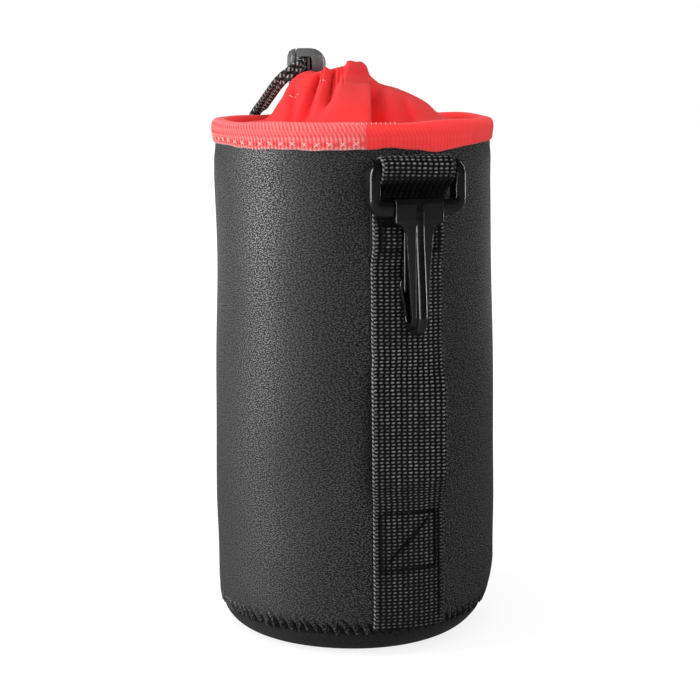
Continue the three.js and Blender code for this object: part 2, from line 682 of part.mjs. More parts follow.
/** Strip that turns through the bend and rises as the nose, flaring to catch the gate. */
function hookNose() {
  const stations = [[bendOut + bendRadius, -BEND_DROP + 1.5, 1, 0, SHANK_LOW_HALF]];
  for (let i = 0; i <= 10; i += 1) {
    const angle = (Math.PI * i) / 10;
    const [c, s] = [Math.cos(angle), Math.sin(angle)];
    stations.push([bendOut + bendRadius * c, -BEND_DROP - bendRadius * s, c, -s, SHANK_LOW_HALF]);
  }
  const rise = BEND_DROP - NOSE_TIP_DROP;
  for (const [share, flare] of [[0.3, 0.25], [0.6, 0.75], [0.8, 1], [0.94, 0.8], [1, 0.25]]) {
    const half = THREE.MathUtils.lerp(SHANK_LOW_HALF, NOSE_HALF, flare);
    stations.push([bendOut - bendRadius, -BEND_DROP + rise * share, -1, 0, half]);
  }
  const rings = stations.map(([out, z, nOut, nZ, half]) => {
    const point = (x, side) => new THREE.Vector3(x, -(out + side * nOut * SHANK / 2), z + side * nZ * SHANK / 2);
    return [point(-half, 1), point(half, 1), point(half, -1), point(-half, -1)];
  });
  return loft(rings, false);
}

/** Fin along the outside of the shank, deepest at the bend and running out on the nose. */
function hookFin() {
  const root = shankBack + SHANK / 2;
  const stations = [
    [[HUB_FRONT - 1, hubRadius - 1.2], [HUB_FRONT, hubRadius - 1.2]],
    [[HUB_FRONT - 1, -1], [HUB_FRONT + 0.6, -1]],
    [[root, -SHOULDER_DROP], [HUB_FRONT + 0.9, -SHOULDER_DROP]],
    [[root, -BEND_DROP + 8], [shankFront + FIN_DEPTH - 0.6, -BEND_DROP + 8]],
  ];
  for (let i = 0; i <= 8; i += 1) {
    const share = i / 8;
    const angle = Math.PI * 0.98 * share;
    const reach = bendRadius + SHANK / 2 + FIN_DEPTH * (1 - share ** 1.5);
    const along = (radius) => [bendOut + radius * Math.cos(angle), -BEND_DROP - radius * Math.sin(angle)];
    stations.push([along(bendRadius), along(reach)]);
  }
  const rings = stations.map(([base, edge]) => {
    const length = Math.hypot(edge[0] - base[0], edge[1] - base[1]);
    const shoulder = Math.max(0.4, 1 - FIN_BEVEL / length);
    const point = (x, share) => new THREE.Vector3(
      x, -THREE.MathUtils.lerp(base[0], edge[0], share), THREE.MathUtils.lerp(base[1], edge[1], share));
    const half = FIN_WIDTH / 2;
    const flat = half - FIN_BEVEL;
    return [
      point(-half, 0), point(-half, shoulder), point(-flat, 1),
      point(flat, 1), point(half, shoulder), point(half, 0),
    ];
  });
  return loft(rings, false);
}

function hookBody() {
  return union(hookHub(), hookShank(), hookNose(), hookFin());
}

/** Springy tongue from under the hub down to the inside of the nose. */
function hookGate() {
  const back = -noseBack + SHANK + CLEAR;
  const front = back + GATE;
  const under = (out) => -Math.sqrt((hubRadius + CLEAR + 0.05) ** 2 - out ** 2);
  const shape = new THREE.Shape();
  shape.moveTo(back, under(back));
  shape.lineTo((back + front) / 2, under((back + front) / 2));
  shape.lineTo(front, under(front));
  shape.lineTo(front + 0.9, under(front + 0.9));
  shape.lineTo(front + 0.9, -hubRadius - 1.4);
  shape.lineTo(front, -hubRadius - 3.6);
  shape.lineTo(front, -GATE_TIP_DROP + 0.6);
  shape.lineTo(front - 0.5, -GATE_TIP_DROP);
  shape.lineTo(back + 0.3, -GATE_TIP_DROP);
  shape.lineTo(back, -GATE_TIP_DROP + 0.5);
  return extrudeAcross(shape, 2 * GATE_HALF, 0.25);
}

const CHARCOAL = 0x4a4a4c;
const DEEP_GREY = 0x333335;
const RED = 0xe83a3f;
const LIGHT_RED = 0xf2575a;
const BLACK = 0x1d1d1f;
const LOCK_GREY = 0x55565a;
const STEEL = 0xb8bcc2;

const pouch = new THREE.Group();
pouch.add(makeMesh("neoprene_body", neopreneBody(), CHARCOAL, 0.9));
pouch.add(makeMesh("base_disc", baseDisc(), DEEP_GREY, 0.9));
pouch.add(makeMesh("rim_binding", rimBinding(), RED, 0.85));
pouch.add(makeMesh("belt_strap", beltStrap(), BLACK, 0.8));

// The gathered mouth is turned a little from the strap's side
const mouth = new THREE.Group();
mouth.rotation.z = MOUTH_TURN;
mouth.add(makeMesh("drawstring_collar", drawstringCollar(), LIGHT_RED, 0.8));
mouth.add(makeMesh("drawcord_loop", drawcordLoop(), BLACK, 0.8));
mouth.add(makeMesh("drawcord_tail_upper", drawcordTail(1, UPPER_RISE), BLACK, 0.8));
mouth.add(makeMesh("drawcord_tail_lower", drawcordTail(-1, LOWER_RISE), BLACK, 0.8));
mouth.add(makeMesh("drawcord_knot", drawcordKnot(), BLACK, 0.8));
const lock = new THREE.Group();
lock.position.set(LOCK_POSITION.x, LOCK_POSITION.y, rimTop + LOCK_POSITION.z);
lock.add(makeMesh("cord_lock_barrel", lockBarrel(), LOCK_GREY, 0.4));
lock.add(makeMesh("cord_lock_plunger", lockPlunger(), LOCK_GREY, 0.4));
lock.add(makeMesh("cord_lock_spring", lockSpring(), STEEL, 0.35, 1));
mouth.add(lock);
pouch.add(mouth);

pouch.add(makeMesh("hook_frame", hookFrame(), BLACK, 0.35));
const hook = new THREE.Group();
hook.position.set(0, -barOut, lowBarZ);
hook.add(makeMesh("hook_body", hookBody(), BLACK, 0.35));
hook.add(makeMesh("hook_gate", hookGate(), BLACK, 0.4));
pouch.add(hook);

export default pouch;
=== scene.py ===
"""A drawstring lens pouch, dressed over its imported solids, with its studio and camera."""
import json
import math

import bmesh
import bpy
import numpy as np
from mathutils import Matrix, Vector


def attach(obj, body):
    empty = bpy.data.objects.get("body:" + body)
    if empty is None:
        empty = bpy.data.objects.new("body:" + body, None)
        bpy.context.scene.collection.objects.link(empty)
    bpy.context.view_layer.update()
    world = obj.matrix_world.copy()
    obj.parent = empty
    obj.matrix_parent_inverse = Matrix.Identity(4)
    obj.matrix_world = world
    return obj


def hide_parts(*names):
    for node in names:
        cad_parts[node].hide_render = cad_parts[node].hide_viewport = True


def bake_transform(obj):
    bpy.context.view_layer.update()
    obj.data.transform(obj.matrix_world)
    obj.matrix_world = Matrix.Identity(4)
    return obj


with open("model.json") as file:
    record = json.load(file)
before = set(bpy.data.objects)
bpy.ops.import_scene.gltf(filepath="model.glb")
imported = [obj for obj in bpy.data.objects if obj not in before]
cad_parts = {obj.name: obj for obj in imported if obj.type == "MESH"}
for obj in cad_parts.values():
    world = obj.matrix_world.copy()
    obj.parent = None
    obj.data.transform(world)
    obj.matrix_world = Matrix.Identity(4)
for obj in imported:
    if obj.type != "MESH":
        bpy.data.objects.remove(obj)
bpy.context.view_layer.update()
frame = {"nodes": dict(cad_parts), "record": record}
MM = 0.001
TURN = 2 * math.pi

# The pouch's own sizes, in millimetres.
RIM_RADIUS = 48.5
FOOT_FLARE = 1.0
FOOT_RISE = 19.2
FOOT_REACH = 14.5
FOOT_POWER = 2.75
SLUMP = 5.2
SLUMP_TOP = 23.0
WALL = 4.0
WALL_TOP = 178.2
SEAM_TURN = math.radians(22.6)
CLEAR = 0.3
TAPE = 1.2
TAPE_INNER_DROP = 9.0
LAP_ANGLE = -106.0
LAP_RUN = 38.0
LAP_STEP = 0.5
MOUTH_TURN = math.radians(-21.3)
NECK_SHIFT = (-8.0, 4.0)
NECK_TILT = 3.0
NECK_PEAK = math.radians(-40)
EYELET_ANGLE = math.radians(125)
CORD = 2.2
CORD_PITCH = 2.5
CORD_BESIDE = 2.1
CORD_BEND = 4.7
CASING_MIDDLE = 10.4
CASING_Z = 192.8
WEB = 1.4
WEB_WIDTH = 25.0
BELT_GAP = 4.8
LOOP_LOW = 51.0
LOOP_HIGH = 104.0
LOOP_EASE = 13.0
LOOP_LEAN = 1.9
LOOP_TURN = math.radians(7)
TACK_DROP = 16.3
TOP_BAR_RADIUS = 2.1
THREAD_SIDES = 7
VIEW_ANGLE = math.radians(-21.26)
joint_place = {joint["name"]: joint["pos_m"] for joint in frame["record"]["behaviour"]["joints"]}
LOW_BAR_Z = joint_place["hook_pivot"][2] / MM
TOP_BAR_Z = joint_place["frame_swing"][2] / MM
BAR_OUT = -joint_place["hook_pivot"][1] / MM
foot_radius = RIM_RADIUS + FOOT_FLARE
rim_top = WALL_TOP + CLEAR + TAPE
rim_inner = RIM_RADIUS - WALL - CLEAR - TAPE


def smooth(low, high, value):
    """Rises softly from 0 at low to 1 at high."""
    t = np.clip((np.asarray(value, float) - low) / (high - low), 0, 1)
    return t * t * (3 - 2 * t)


def lerp(a, b, t):
    return a + (b - a) * t


def full_turn(count):
    """Angles spread evenly round a circle."""
    return np.linspace(0, TURN, count, endpoint=False)


def wrapped(turn):
    """The same angle between minus and plus half a turn."""
    return (turn + math.pi) % TURN - math.pi


def fuller(wave, power):
    """A sine or cosine filled out towards a square one."""
    return np.sign(wave) * np.abs(wave) ** power


def around_axis(radius, z, turn):
    """Points at a distance from the pouch's axis and a height, at an angle about it."""
    return np.stack(np.broadcast_arrays(radius * np.cos(turn), radius * np.sin(turn), z), -1)


def catmull(points, steps):
    """A centripetal curve through the points, sampled steps times between each two."""
    p = np.asarray(points, float)
    p = np.vstack([2 * p[0] - p[1], p, 2 * p[-1] - p[-2]])
    share = np.linspace(0, 1, steps, endpoint=False)[:, None]
    out = []
    for a, b, c, d in zip(p, p[1:], p[2:], p[3:]):
        ab, bc, cd = (math.sqrt(np.linalg.norm(v)) for v in (b - a, c - b, d - c))
        t1 = ((b - a) / ab - (c - a) / (ab + bc) + (c - b) / bc) * bc
        t2 = ((c - b) / bc - (d - b) / (bc + cd) + (d - c) / cd) * bc
        bend = 3 * (c - b) - 2 * t1 - t2
        swing = 2 * (b - c) + t1 + t2
        out.append(b + t1 * share + bend * share**2 + swing * share**3)
    return np.vstack(out + [p[-2:-1]])


def arc_length(path):
    return np.concatenate([[0], np.cumsum(np.linalg.norm(np.diff(path, axis=0), axis=1))])


def even(path, step):
    """The same path with points about step apart."""
    s = arc_length(path)
    at = np.linspace(0, s[-1], int(round(s[-1] / step)) + 1)
    return np.stack([np.interp(at, s, path[:, k]) for k in range(path.shape[1])], 1)


def unit(v):
    return v / np.linalg.norm(v, axis=-1, keepdims=True)


def from_mouth(p):
    """Turns points from the mouth's own frame to the pouch's."""
    p = np.asarray(p, float)
    c, s = math.cos(MOUTH_TURN), math.sin(MOUTH_TURN)
    return np.stack([p[..., 0] * c - p[..., 1] * s, p[..., 0] * s + p[..., 1] * c, p[..., 2]], -1)


def add_grid(name, points, uv, slot, finish, *nodes, wrap_rows=False, caps=False, marks=None):
    """Puts closed rings of points on the pouch as one piece, with a UV map in millimetres."""
    rows, columns = points.shape[:2]
    r, c = np.meshgrid(np.arange(rows if wrap_rows else rows - 1), np.arange(columns), indexing="ij")
    corner = np.stack([np.stack([r + i, c + j], -1) for i, j in ((0, 0), (0, 1), (1, 1), (1, 0))], -2)
    corner = corner.reshape(-1, 4, 2)
    faces = ((corner[..., 0] % rows) * columns + corner[..., 1] % columns).tolist()
    if caps:
        faces.append(list(range(columns))[::-1])
        faces.append(list(range((rows - 1) * columns, rows * columns)))
    mesh = bpy.data.meshes.new(name)
    mesh.from_pydata((points.reshape(-1, 3) * MM).tolist(), [], faces)
    flat = uv[corner[..., 0], corner[..., 1]].reshape(-1, 2)
    if caps:
        flat = np.vstack([flat, uv[0, :columns][::-1], uv[rows - 1, :columns]])
    mesh.uv_layers.new(name="UVMap").data.foreach_set("uv", flat.ravel())
    for mark, values in (marks or {}).items():
        mesh.attributes.new(mark, "FLOAT", "POINT").data.foreach_set("value", values.ravel())
    return add_piece(name, tidy(mesh), "pouch", slot, finish, *nodes)


def tidy(mesh):
    """Joins the points of a pole, turns every face outward and shades it smooth."""
    work = bmesh.new()
    work.from_mesh(mesh)
    bmesh.ops.remove_doubles(work, verts=work.verts, dist=1e-7)
    bmesh.ops.recalc_face_normals(work, faces=work.faces)
    work.to_mesh(mesh)
    work.free()
    mesh.shade_smooth()
    return mesh


def round_frames(path):
    """Two directions square to the path at each of its points, carried along without twist."""
    tangent = unit(np.gradient(path, axis=0))
    side = np.cross(tangent[0], (0.31, 0.17, 0.93))
    sides = []
    for t in tangent:
        side = side - t * np.dot(side, t)
        side = side / np.linalg.norm(side)
        sides.append(side)
    sides = np.array(sides)
    return sides, np.cross(tangent, sides)


def tube_points(path, radius, sides):
    """Rings round a path; radius is one number or an array over rings and sides."""
    a, b = round_frames(path)
    turn = full_turn(sides)
    radius = np.broadcast_to(radius, (len(path), sides))[..., None]
    around = a[:, None] * np.cos(turn)[:, None] + b[:, None] * np.sin(turn)[:, None]
    return path[:, None] + around * radius


def ring_uv(rows, columns, width):
    """Millimetre UVs for rings: columns round a girth of width, rows at the given lengths."""
    u = np.broadcast_to(np.linspace(0, width, columns + 1), (len(rows), columns + 1))
    v = np.broadcast_to(np.asarray(rows)[:, None], (len(rows), columns + 1))
    return np.stack([u, v], -1)


def sew(name, paths, radius, slot, thread):
    """Puts many short lengths of round thread on the pouch as one piece."""
    points, faces, flat = [], [], []
    sides = THREAD_SIDES
    start = 0
    for path in paths:
        path = np.asarray(path, float)
        rings = tube_points(path, radius, sides)
        rows = len(path)
        s = arc_length(path)
        points.append(rings.reshape(-1, 3))
        for r in range(rows - 1):
            for k in range(sides):
                n = (k + 1) % sides
                corners = (r * sides + k, r * sides + n, (r + 1) * sides + n, (r + 1) * sides + k)
                faces.append([start + q for q in corners])
                turn, then = k * TURN * radius / sides, (k + 1) * TURN * radius / sides
                flat += [(turn, s[r]), (then, s[r]), (then, s[r + 1]), (turn, s[r + 1])]
        for r in (0, rows - 1):
            ring = list(range(r * sides, (r + 1) * sides))
            faces.append([start + q for q in (ring[::-1] if r == 0 else ring)])
            flat += [(k * radius, s[r]) for k in range(sides)]
        start += rows * sides
    mesh = bpy.data.meshes.new(name)
    mesh.from_pydata((np.vstack(points) * MM).tolist(), [], faces)
    mesh.uv_layers.new(name="UVMap").data.foreach_set("uv", np.array(flat).ravel())
    mesh.shade_smooth()
    add_piece(name, mesh, "pouch", slot, thread)


def add_object(name, data):
    """Puts a new object into the scene."""
    thing = bpy.data.objects.new(name, data)
    bpy.context.scene.collection.objects.link(thing)
    return thing


def add_piece(name, mesh, body, slot, finish, *nodes):
    """Puts a mesh into the scene on a body, with its finish, in place of the named solids."""
    piece = add_object(name, mesh)
    mesh.materials.clear()
    mesh.materials.append(finish)
    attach(piece, body)
    if nodes:
        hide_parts(*nodes)
    return piece


def vertex_values(mesh, name):
    """The places or the normals of a mesh's points, in one row."""
    values = np.empty(len(mesh.vertices) * 3)
    mesh.vertices.foreach_get(name, values)
    return values


def moulded(name, node, voxel, passes, swell):
    """A copy of a solid with its edges rounded, as a moulding has them, swollen to keep its size."""
    rough = add_object(name + "_rough", frame["nodes"][node].data.copy())
    remesh = rough.modifiers.new("remesh", "REMESH")
    remesh.mode = "VOXEL"
    remesh.voxel_size = voxel * MM
    soften = rough.modifiers.new("soften", "SMOOTH")
    soften.factor = 0.5
    soften.iterations = passes
    graph = bpy.context.evaluated_depsgraph_get()
    graph.update()
    mesh = bpy.data.meshes.new_from_object(rough.evaluated_get(graph))
    mesh.name = name
    spare = rough.data
    bpy.data.objects.remove(rough)
    bpy.data.meshes.remove(spare)
    swollen = vertex_values(mesh, "co") + vertex_values(mesh, "normal") * swell * MM
    mesh.vertices.foreach_set("co", swollen)
    mesh.shade_smooth()
    return mesh


class Field:
    """A number that varies over a surface, with the usual arithmetic."""

    def __init__(self, tree, socket):
        self.tree = tree
        self.socket = socket

    def math(self, operation, *others, clamp=False):
        values = dict(enumerate((self, *others)))
        return field(self.tree, "Math", values, operation=operation, use_clamp=clamp)

    def __add__(self, other):
        return self.math("ADD", other)

    def __sub__(self, other):
        return self.math("SUBTRACT", other)

    def __mul__(self, other):
        return self.math("MULTIPLY", other)

    def __truediv__(self, other):
        return self.math("DIVIDE", other)

    def part(self):
        return self.math("FRACT")

    def size(self):
        return self.math("ABSOLUTE")

    def sin(self):
        return self.math("SINE")

    def rise(self, low, high):
        """Goes softly from 0 at low to 1 at high."""
        values = {"Value": self, "From Min": low, "From Max": high}
        return field(self.tree, "MapRange", values, "Result", interpolation_type="SMOOTHSTEP")


def put(tree, socket, value):
    """Links a field to a socket, or sets a plain value on it."""
    if isinstance(value, Field):
        tree.links.new(value.socket, socket)
    else:
        socket.default_value = value


def field(tree, kind, values, output=0, **settings):
    """One output of a new shading node with the given input values and settings."""
    node = tree.nodes.new("ShaderNode" + kind)
    for name, value in settings.items():
        setattr(node, name, value)
    for socket, value in values.items():
        put(tree, node.inputs[socket], value)
    return Field(tree, node.outputs[output])


class Finish:
    """One procedural material."""

    def __init__(self, name):
        self.material = bpy.data.materials.new(name)
        self.material.use_nodes = True
        self.tree = self.material.node_tree

    def axes(self, kind, output):
        """The three parts of a place."""
        place = field(self.tree, kind, {}, output)
        return [field(self.tree, "SeparateXYZ", {0: place}, axis) for axis in "XYZ"]

    def uv(self):
        """Across and along, in millimetres."""
        return self.axes("UVMap", "UV")[:2]

    def solid_place(self):
        """The place in the pouch, in millimetres."""
        return [part / MM for part in self.axes("TexCoord", "Object")]

    def mark(self, name):
        return field(self.tree, "Attribute", {}, "Fac", attribute_name=name)

    def noise(self, x, y, z=0.0, detail=2.0):
        place = field(self.tree, "CombineXYZ", {0: x, 1: y, 2: z})
        return field(self.tree, "TexNoise", {"Vector": place, "Scale": 1.0, "Detail": detail})

    def mix(self, share, a, b):
        a, b = (tone if isinstance(tone, Field) else (*tone, 1.0) for tone in (a, b))
        return field(self.tree, "Mix", {0: share, 6: a, 7: b}, 2, data_type="RGBA")

    def done(self, colour, height, depth, **values):
        """The material with its colour, relief of a depth in millimetres, and other values."""
        relief = {"Height": height, "Strength": 1.0, "Distance": depth * MM}
        values = {"Base Color": colour, "Normal": field(self.tree, "Bump", relief, "Normal"), **values}
        shader = self.tree.nodes["Principled BSDF"]
        for name, value in values.items():
            put(self.tree, shader.inputs[name.replace("_", " ")], value)
        return self.material


def neoprene_finish():
    """Charcoal jersey on foam: a satin face of short wavy flecks."""
    look = Finish("neoprene_jersey")
    u, v = look.uv()
    drift = look.noise(u / 26.0, v / 26.0, detail=1.0) * 3.2
    fleck = look.noise((u + v * 0.4 + drift) / 0.74, (v - u * 0.25) / 0.40, detail=0.0)
    pick = look.noise(u / 0.55, v / 0.38, 7.0, detail=0.0)
    cloud = look.noise(u / 21.0, v / 17.0, 3.0)
    yarn = (fleck * 0.6 + pick * 0.4).rise(0.47, 0.59)
    pale = yarn * (cloud * 0.3 + 0.85)
    colour = look.mix(pale, (0.0003, 0.0003, 0.0003), (0.050, 0.050, 0.051))
    return look.done(colour, yarn, 0.025, Roughness=yarn * -0.38 + 0.76, Specular_IOR_Level=0.75)


def base_finish():
    """The base's darker, smoother knit."""
    look = Finish("neoprene_base_knit")
    u, v = look.uv()
    wale = (u / 0.55 * TURN).sin() * (v / 0.6 * TURN).sin()
    grain = look.noise(u / 0.8, v / 0.8)
    pale = grain.rise(0.4, 0.75) * 0.6 + wale * 0.12
    colour = look.mix(pale, (0.010, 0.010, 0.011), (0.030, 0.030, 0.032))
    return look.done(colour, wale * 0.4 + grain, 0.10,
                     Roughness=0.85, Sheen_Weight=0.06, Specular_IOR_Level=0.2)


def binding_finish():
    """Red knit tape: upright wales that lean near the rim; its outer face is paler over the arc left of the
    lap, low down and along its lower edge.
    """
    look = Finish("binding_knit")
    u, v = look.uv()
    knit = look.mark("knit")
    lean = (v - 3.4).math("MAXIMUM", 0.0) * 0.55
    wale = ((u + lean) / WALE_PITCH).part() - 0.5
    course = ((v + wale.size() * 0.9) / 1.05).part() - 0.5
    rib = wale.size().rise(0.46, 0.20)
    loop = rib * (course.size().rise(0.5, 0.1) * 0.3 + 0.7)
    worn = look.noise(u / 3.2, v / 5.0)
    edge = v.rise(0.9, 0.1)
    sewn = (v - ZIGZAG_MIDDLE).size().rise(1.2, 0.8)
    # Pale share of the knit, strongest over the arc left of the lap and less at the sewn row.
    pale_knit_share = (loop * 0.62 + 0.19) * knit * (sewn * -0.45 + 1)
    pale = pale_knit_share * (worn * 0.6 + 0.6) * (v.rise(4.4, 2.6) * 0.6 + 0.6) + edge * knit * 0.5
    colour = look.mix(pale.math("MULTIPLY", 0.8, clamp=True), (0.90, 0.032, 0.034), (0.76, 0.41, 0.40))
    return look.done(colour, loop * (knit * 0.85 + 0.15), 0.18,
                     Roughness=0.8, Sheen_Weight=0.06, Specular_IOR_Level=0.15)


def collar_finish():
    """Thin red cloth with a fine plain weave, with painted shade in fold valleys and painted light on
    ridges.
    """
    look = Finish("collar_cloth")
    u, v = look.uv()
    weave = (u / 0.5 * math.pi).sin() * (v / 0.5 * math.pi).sin()
    slub = look.noise(u / 0.9, v / 6.0)
    wash = look.noise(u / 12.0, v / 9.0, 5.0)
    # The crest mark carries painted fold shading: deep red in valleys as painted shade, paler red on ridges
    # as painted light.
    crest = look.mark("crest")
    pale = crest * 0.8 + (wash * 0.5 + slub * 0.4) * 0.3 - 0.05
    colour = look.mix(pale, (0.71, 0.007, 0.009), (0.77, 0.052, 0.054))
    return look.done(colour, weave * 0.5 + slub, 0.10,
                     Roughness=0.7, Sheen_Weight=0.04, Specular_IOR_Level=0.12)


def thread_finish(name, dark, pale):
    """Twisted sewing thread."""
    look = Finish(name)
    u, v = look.uv()
    twist = ((u * 1.4 + v) / 0.45 * TURN).sin()
    colour = look.mix(twist * 0.5 + 0.5, dark, pale)
    return look.done(colour, twist, 0.06, Roughness=0.6, Specular_IOR_Level=0.35)


def braid_finish():
    """Black braided cord with pale tracer yarns, and painted shade in the hollows between its yarns."""
    look = Finish("braided_cord")
    tracer = look.mark("tracer")
    hollow_shade = look.mark("hollow_shade")
    u, v = look.uv()
    fibre = ((u * 2.2 + v) / 0.3 * TURN).sin()
    # Painted shade: the hollows between the yarn crowns are painted near black.
    yarn = look.mix(hollow_shade, (0.018, 0.018, 0.019), (0.002, 0.002, 0.002))
    colour = look.mix(tracer, yarn, (0.52, 0.515, 0.50))
    return look.done(colour, fibre, 0.04, Roughness=0.55, Specular_IOR_Level=0.4)


def webbing_finish():
    """Black woven webbing, with painted highlights on the crowns of the raised picks and on the selvage
    beads.
    """
    look = Finish("webbing_weave")
    pick = look.mark("pick")
    edge = look.mark("edge")
    u, v = look.uv()
    fibre = look.noise(u / 0.7, v / 0.12)
    highlight_patches = look.noise(u / 7.0, v / 9.0, 4.0)
    # The pick mark is a painted highlight: pale grey on the picks' crowns, brighter and dimmer in patches.
    pale = pick * (fibre * 0.7 + 0.3) * (highlight_patches * 0.9 + 0.55)
    colour = look.mix(pale, (0.002, 0.002, 0.0021), (0.36, 0.36, 0.365))
    # The edge mark is the selvage beads' painted highlight.
    colour = look.mix(edge, colour, (0.24, 0.24, 0.245))
    return look.done(colour, fibre, 0.07, Roughness=0.55, Specular_IOR_Level=0.3)


def plastic_finish(name, tone, gloss, grain):
    """Moulded plastic with a fine grain and faint rubbing."""
    look = Finish(name)
    x, y, z = look.solid_place()
    fine = look.noise(x / 0.35, y / 0.35, z / 0.35)
    rubbed = look.noise(x / 4.0, y / 4.0, z / 4.0, detail=3.0)
    colour = look.mix(rubbed.rise(0.45, 0.75), tone, tuple(t * 1.8 for t in tone))
    return look.done(colour, fine, grain, Roughness=rubbed * 0.16 + gloss, Specular_IOR_Level=0.65)


def steel_finish():
    """Drawn spring wire."""
    look = Finish("spring_wire")
    x, y, z = look.solid_place()
    drawn = look.noise(x / 0.2, y / 0.2, z / 0.2, detail=3.0)
    colour = look.mix(drawn, (0.42, 0.42, 0.43), (0.68, 0.68, 0.69))
    return look.done(colour, drawn, 0.02, Metallic=1.0, Roughness=0.28)


def foot_curve(turn):
    """The foot's rounded profile as radius and height: 0 at the wall, a quarter turn under the base."""
    turn = np.asarray(turn, float)
    power = 2 / FOOT_POWER
    across = foot_radius - FOOT_REACH + FOOT_REACH * np.abs(np.cos(turn)) ** power
    return across, FOOT_RISE - FOOT_RISE * np.abs(np.sin(turn)) ** power


def body_out(z):
    """The tube's outer radius at a height, foot included."""
    z = np.asarray(z, float)
    wall = lerp(foot_radius, RIM_RADIUS, (z - FOOT_RISE) / (WALL_TOP - FOOT_RISE))
    down = np.clip((FOOT_RISE - z) / FOOT_RISE, 0, 1)
    foot = foot_radius - FOOT_REACH + FOOT_REACH * (1 - down**FOOT_POWER) ** (1 / FOOT_POWER)
    return np.where(z > FOOT_RISE, wall, foot)


def slumped(p):
    """Lets the foot's right side round off, as the soft base has settled there."""
    x, y, z = p[..., 0], p[..., 1], p[..., 2]
    r = np.maximum(np.hypot(x, y), 1e-9)
    facing = np.clip((x * math.cos(VIEW_ANGLE) + y * math.sin(VIEW_ANGLE)) / r, 0, 1) ** 2
    fall = np.clip((SLUMP_TOP - z) / SLUMP_TOP, 0, 1) ** 1.5 * SLUMP
    gain = 1 - facing * fall * (r / foot_radius) ** 2 / r
    return np.stack([x * gain, y * gain, z], -1)


# The camera, at the photograph's angle.
ELEVATION = math.radians(9.824)
ROLL = math.radians(-0.5)
CAMERA_AIM = Vector((-0.001409, 0.000548, 0.097333))
CAMERA_AWAY = 0.63457
HALF_FRAME = 350
FOCAL = 1783.32
back = Vector((math.sin(VIEW_ANGLE) * math.cos(ELEVATION), -math.cos(VIEW_ANGLE) * math.cos(ELEVATION),
               math.sin(ELEVATION)))
right = Vector((math.cos(VIEW_ANGLE), math.sin(VIEW_ANGLE), 0))
up = back.cross(right)
rolled_right = right * math.cos(ROLL) + up * math.sin(ROLL)
rolled_up = up * math.cos(ROLL) - right * math.sin(ROLL)
camera = bpy.data.objects.new("camera", bpy.data.cameras.new("camera"))
camera.matrix_world = Matrix((rolled_right, rolled_up, back)).transposed().to_4x4()
camera.matrix_world.translation = CAMERA_AIM + back * CAMERA_AWAY
camera.data.angle = 2 * math.atan(HALF_FRAME / FOCAL)
camera.data.clip_start = 0.01
bpy.context.scene.collection.objects.link(camera)
bpy.context.scene.camera = camera

# The draw cord: both tails leave the hem, pass the lock, cross the rim and hang to one knot.
# Each point of their route: its place, and the way from the lower tail to the upper one.
CORD_ROUTE = [
    (-17.2, 19.4, 197.8, 0, 0, 1), (-17.2, 15.5, 197.8, 0, 0, 1), (-17.2, 11.6, 197.8, 0, 0, 1),
    (-17.7, 8.5, 197.5, -0.15, 0, 0.99), (-19.3, 6, 196.5, -0.36, 0, 0.93),
    (-21.8, 5, 194.8, -0.55, 0, 0.83), (-24.2, 5.9, 193, -0.64, 0, 0.77), (-26, 8.7, 191.2, -0.68, 0, 0.73),
    (-27.7, 13.4, 189.2, -0.74, 0, 0.67), (-29.4, 19.2, 187, -0.77, 0, 0.64),
    (-31.1, 25, 184.9, -0.8, 0, 0.6), (-32.7, 30.5, 182.9, -0.82, -0.1, 0.42),
    (-34.5, 35, 181.2, -0.85, -0.42, 0), (-36.3, 37.4, 178.6, -0.71, -0.7, 0),
    *((-37.3, 38.1, z, -0.71, -0.7, 0) for z in (173.5, 160, 146, 132, 119, 106))]
UPPER_RISE = [(-19, 18.2, 189.7), (-20.9, 21.9, 189.7), (-21.6, 24.8, 190.6), (-21.6, 26.5, 193),
              (-20.9, 26.5, 195.8), (-19.6, 24.8, 198.1), (-18.2, 22, 199)]
LOWER_RISE = [(-16.2, 19, 189.1), (-17.5, 22.7, 187.5), (-18, 25.6, 188.3), (-18.2, 27.4, 190.6),
              (-18.1, 27.4, 193.5), (-17.8, 25.7, 195.7), (-17.4, 23, 196.6)]
BRAID_SIDES = 40
BRAID_STEP = 0.22
BRAID_YARNS = 6
BRAID_LAY = 5.0
BRAID_RELIEF = 0.12
KNOT_RADIUS = 3.4
KNOT_LENGTH = 8.4
KNOT_END = 9.0
STUB_POINTS = 40
STUB_SPREAD = 0.9


def neck_point(reach, angle, z):
    """A point of the hem at a distance from the neck's middle, in the mouth's frame."""
    return (NECK_SHIFT[0] + reach * math.cos(angle), NECK_SHIFT[1] + reach * math.sin(angle),
            z + NECK_TILT * math.cos(angle - NECK_PEAK))


def tail_path(side, rise):
    """The middle line of one tail, from inside the hem to the knot."""
    turn_aside = CORD_PITCH / 2 + CORD_BEND
    turn_reach = math.sqrt(CASING_MIDDLE**2 - turn_aside**2)
    points = []
    for degrees in (0, 30, 60, 90):
        turn = math.radians(degrees)
        reach = turn_reach + CORD_BEND * (1 - math.cos(turn))
        aside = turn_aside - CORD_BEND * math.sin(turn)
        angle = EYELET_ANGLE + side * math.atan2(aside, reach)
        points.append(neck_point(math.hypot(reach, aside), angle, CASING_Z))
    points += rise
    for x, y, z, *away in CORD_ROUTE:
        away = unit(np.array(away, float)) * side * CORD_BESIDE / 2
        points.append(tuple(np.array((x, y, z)) + away))
    return even(catmull(from_mouth(points), 24), BRAID_STEP)


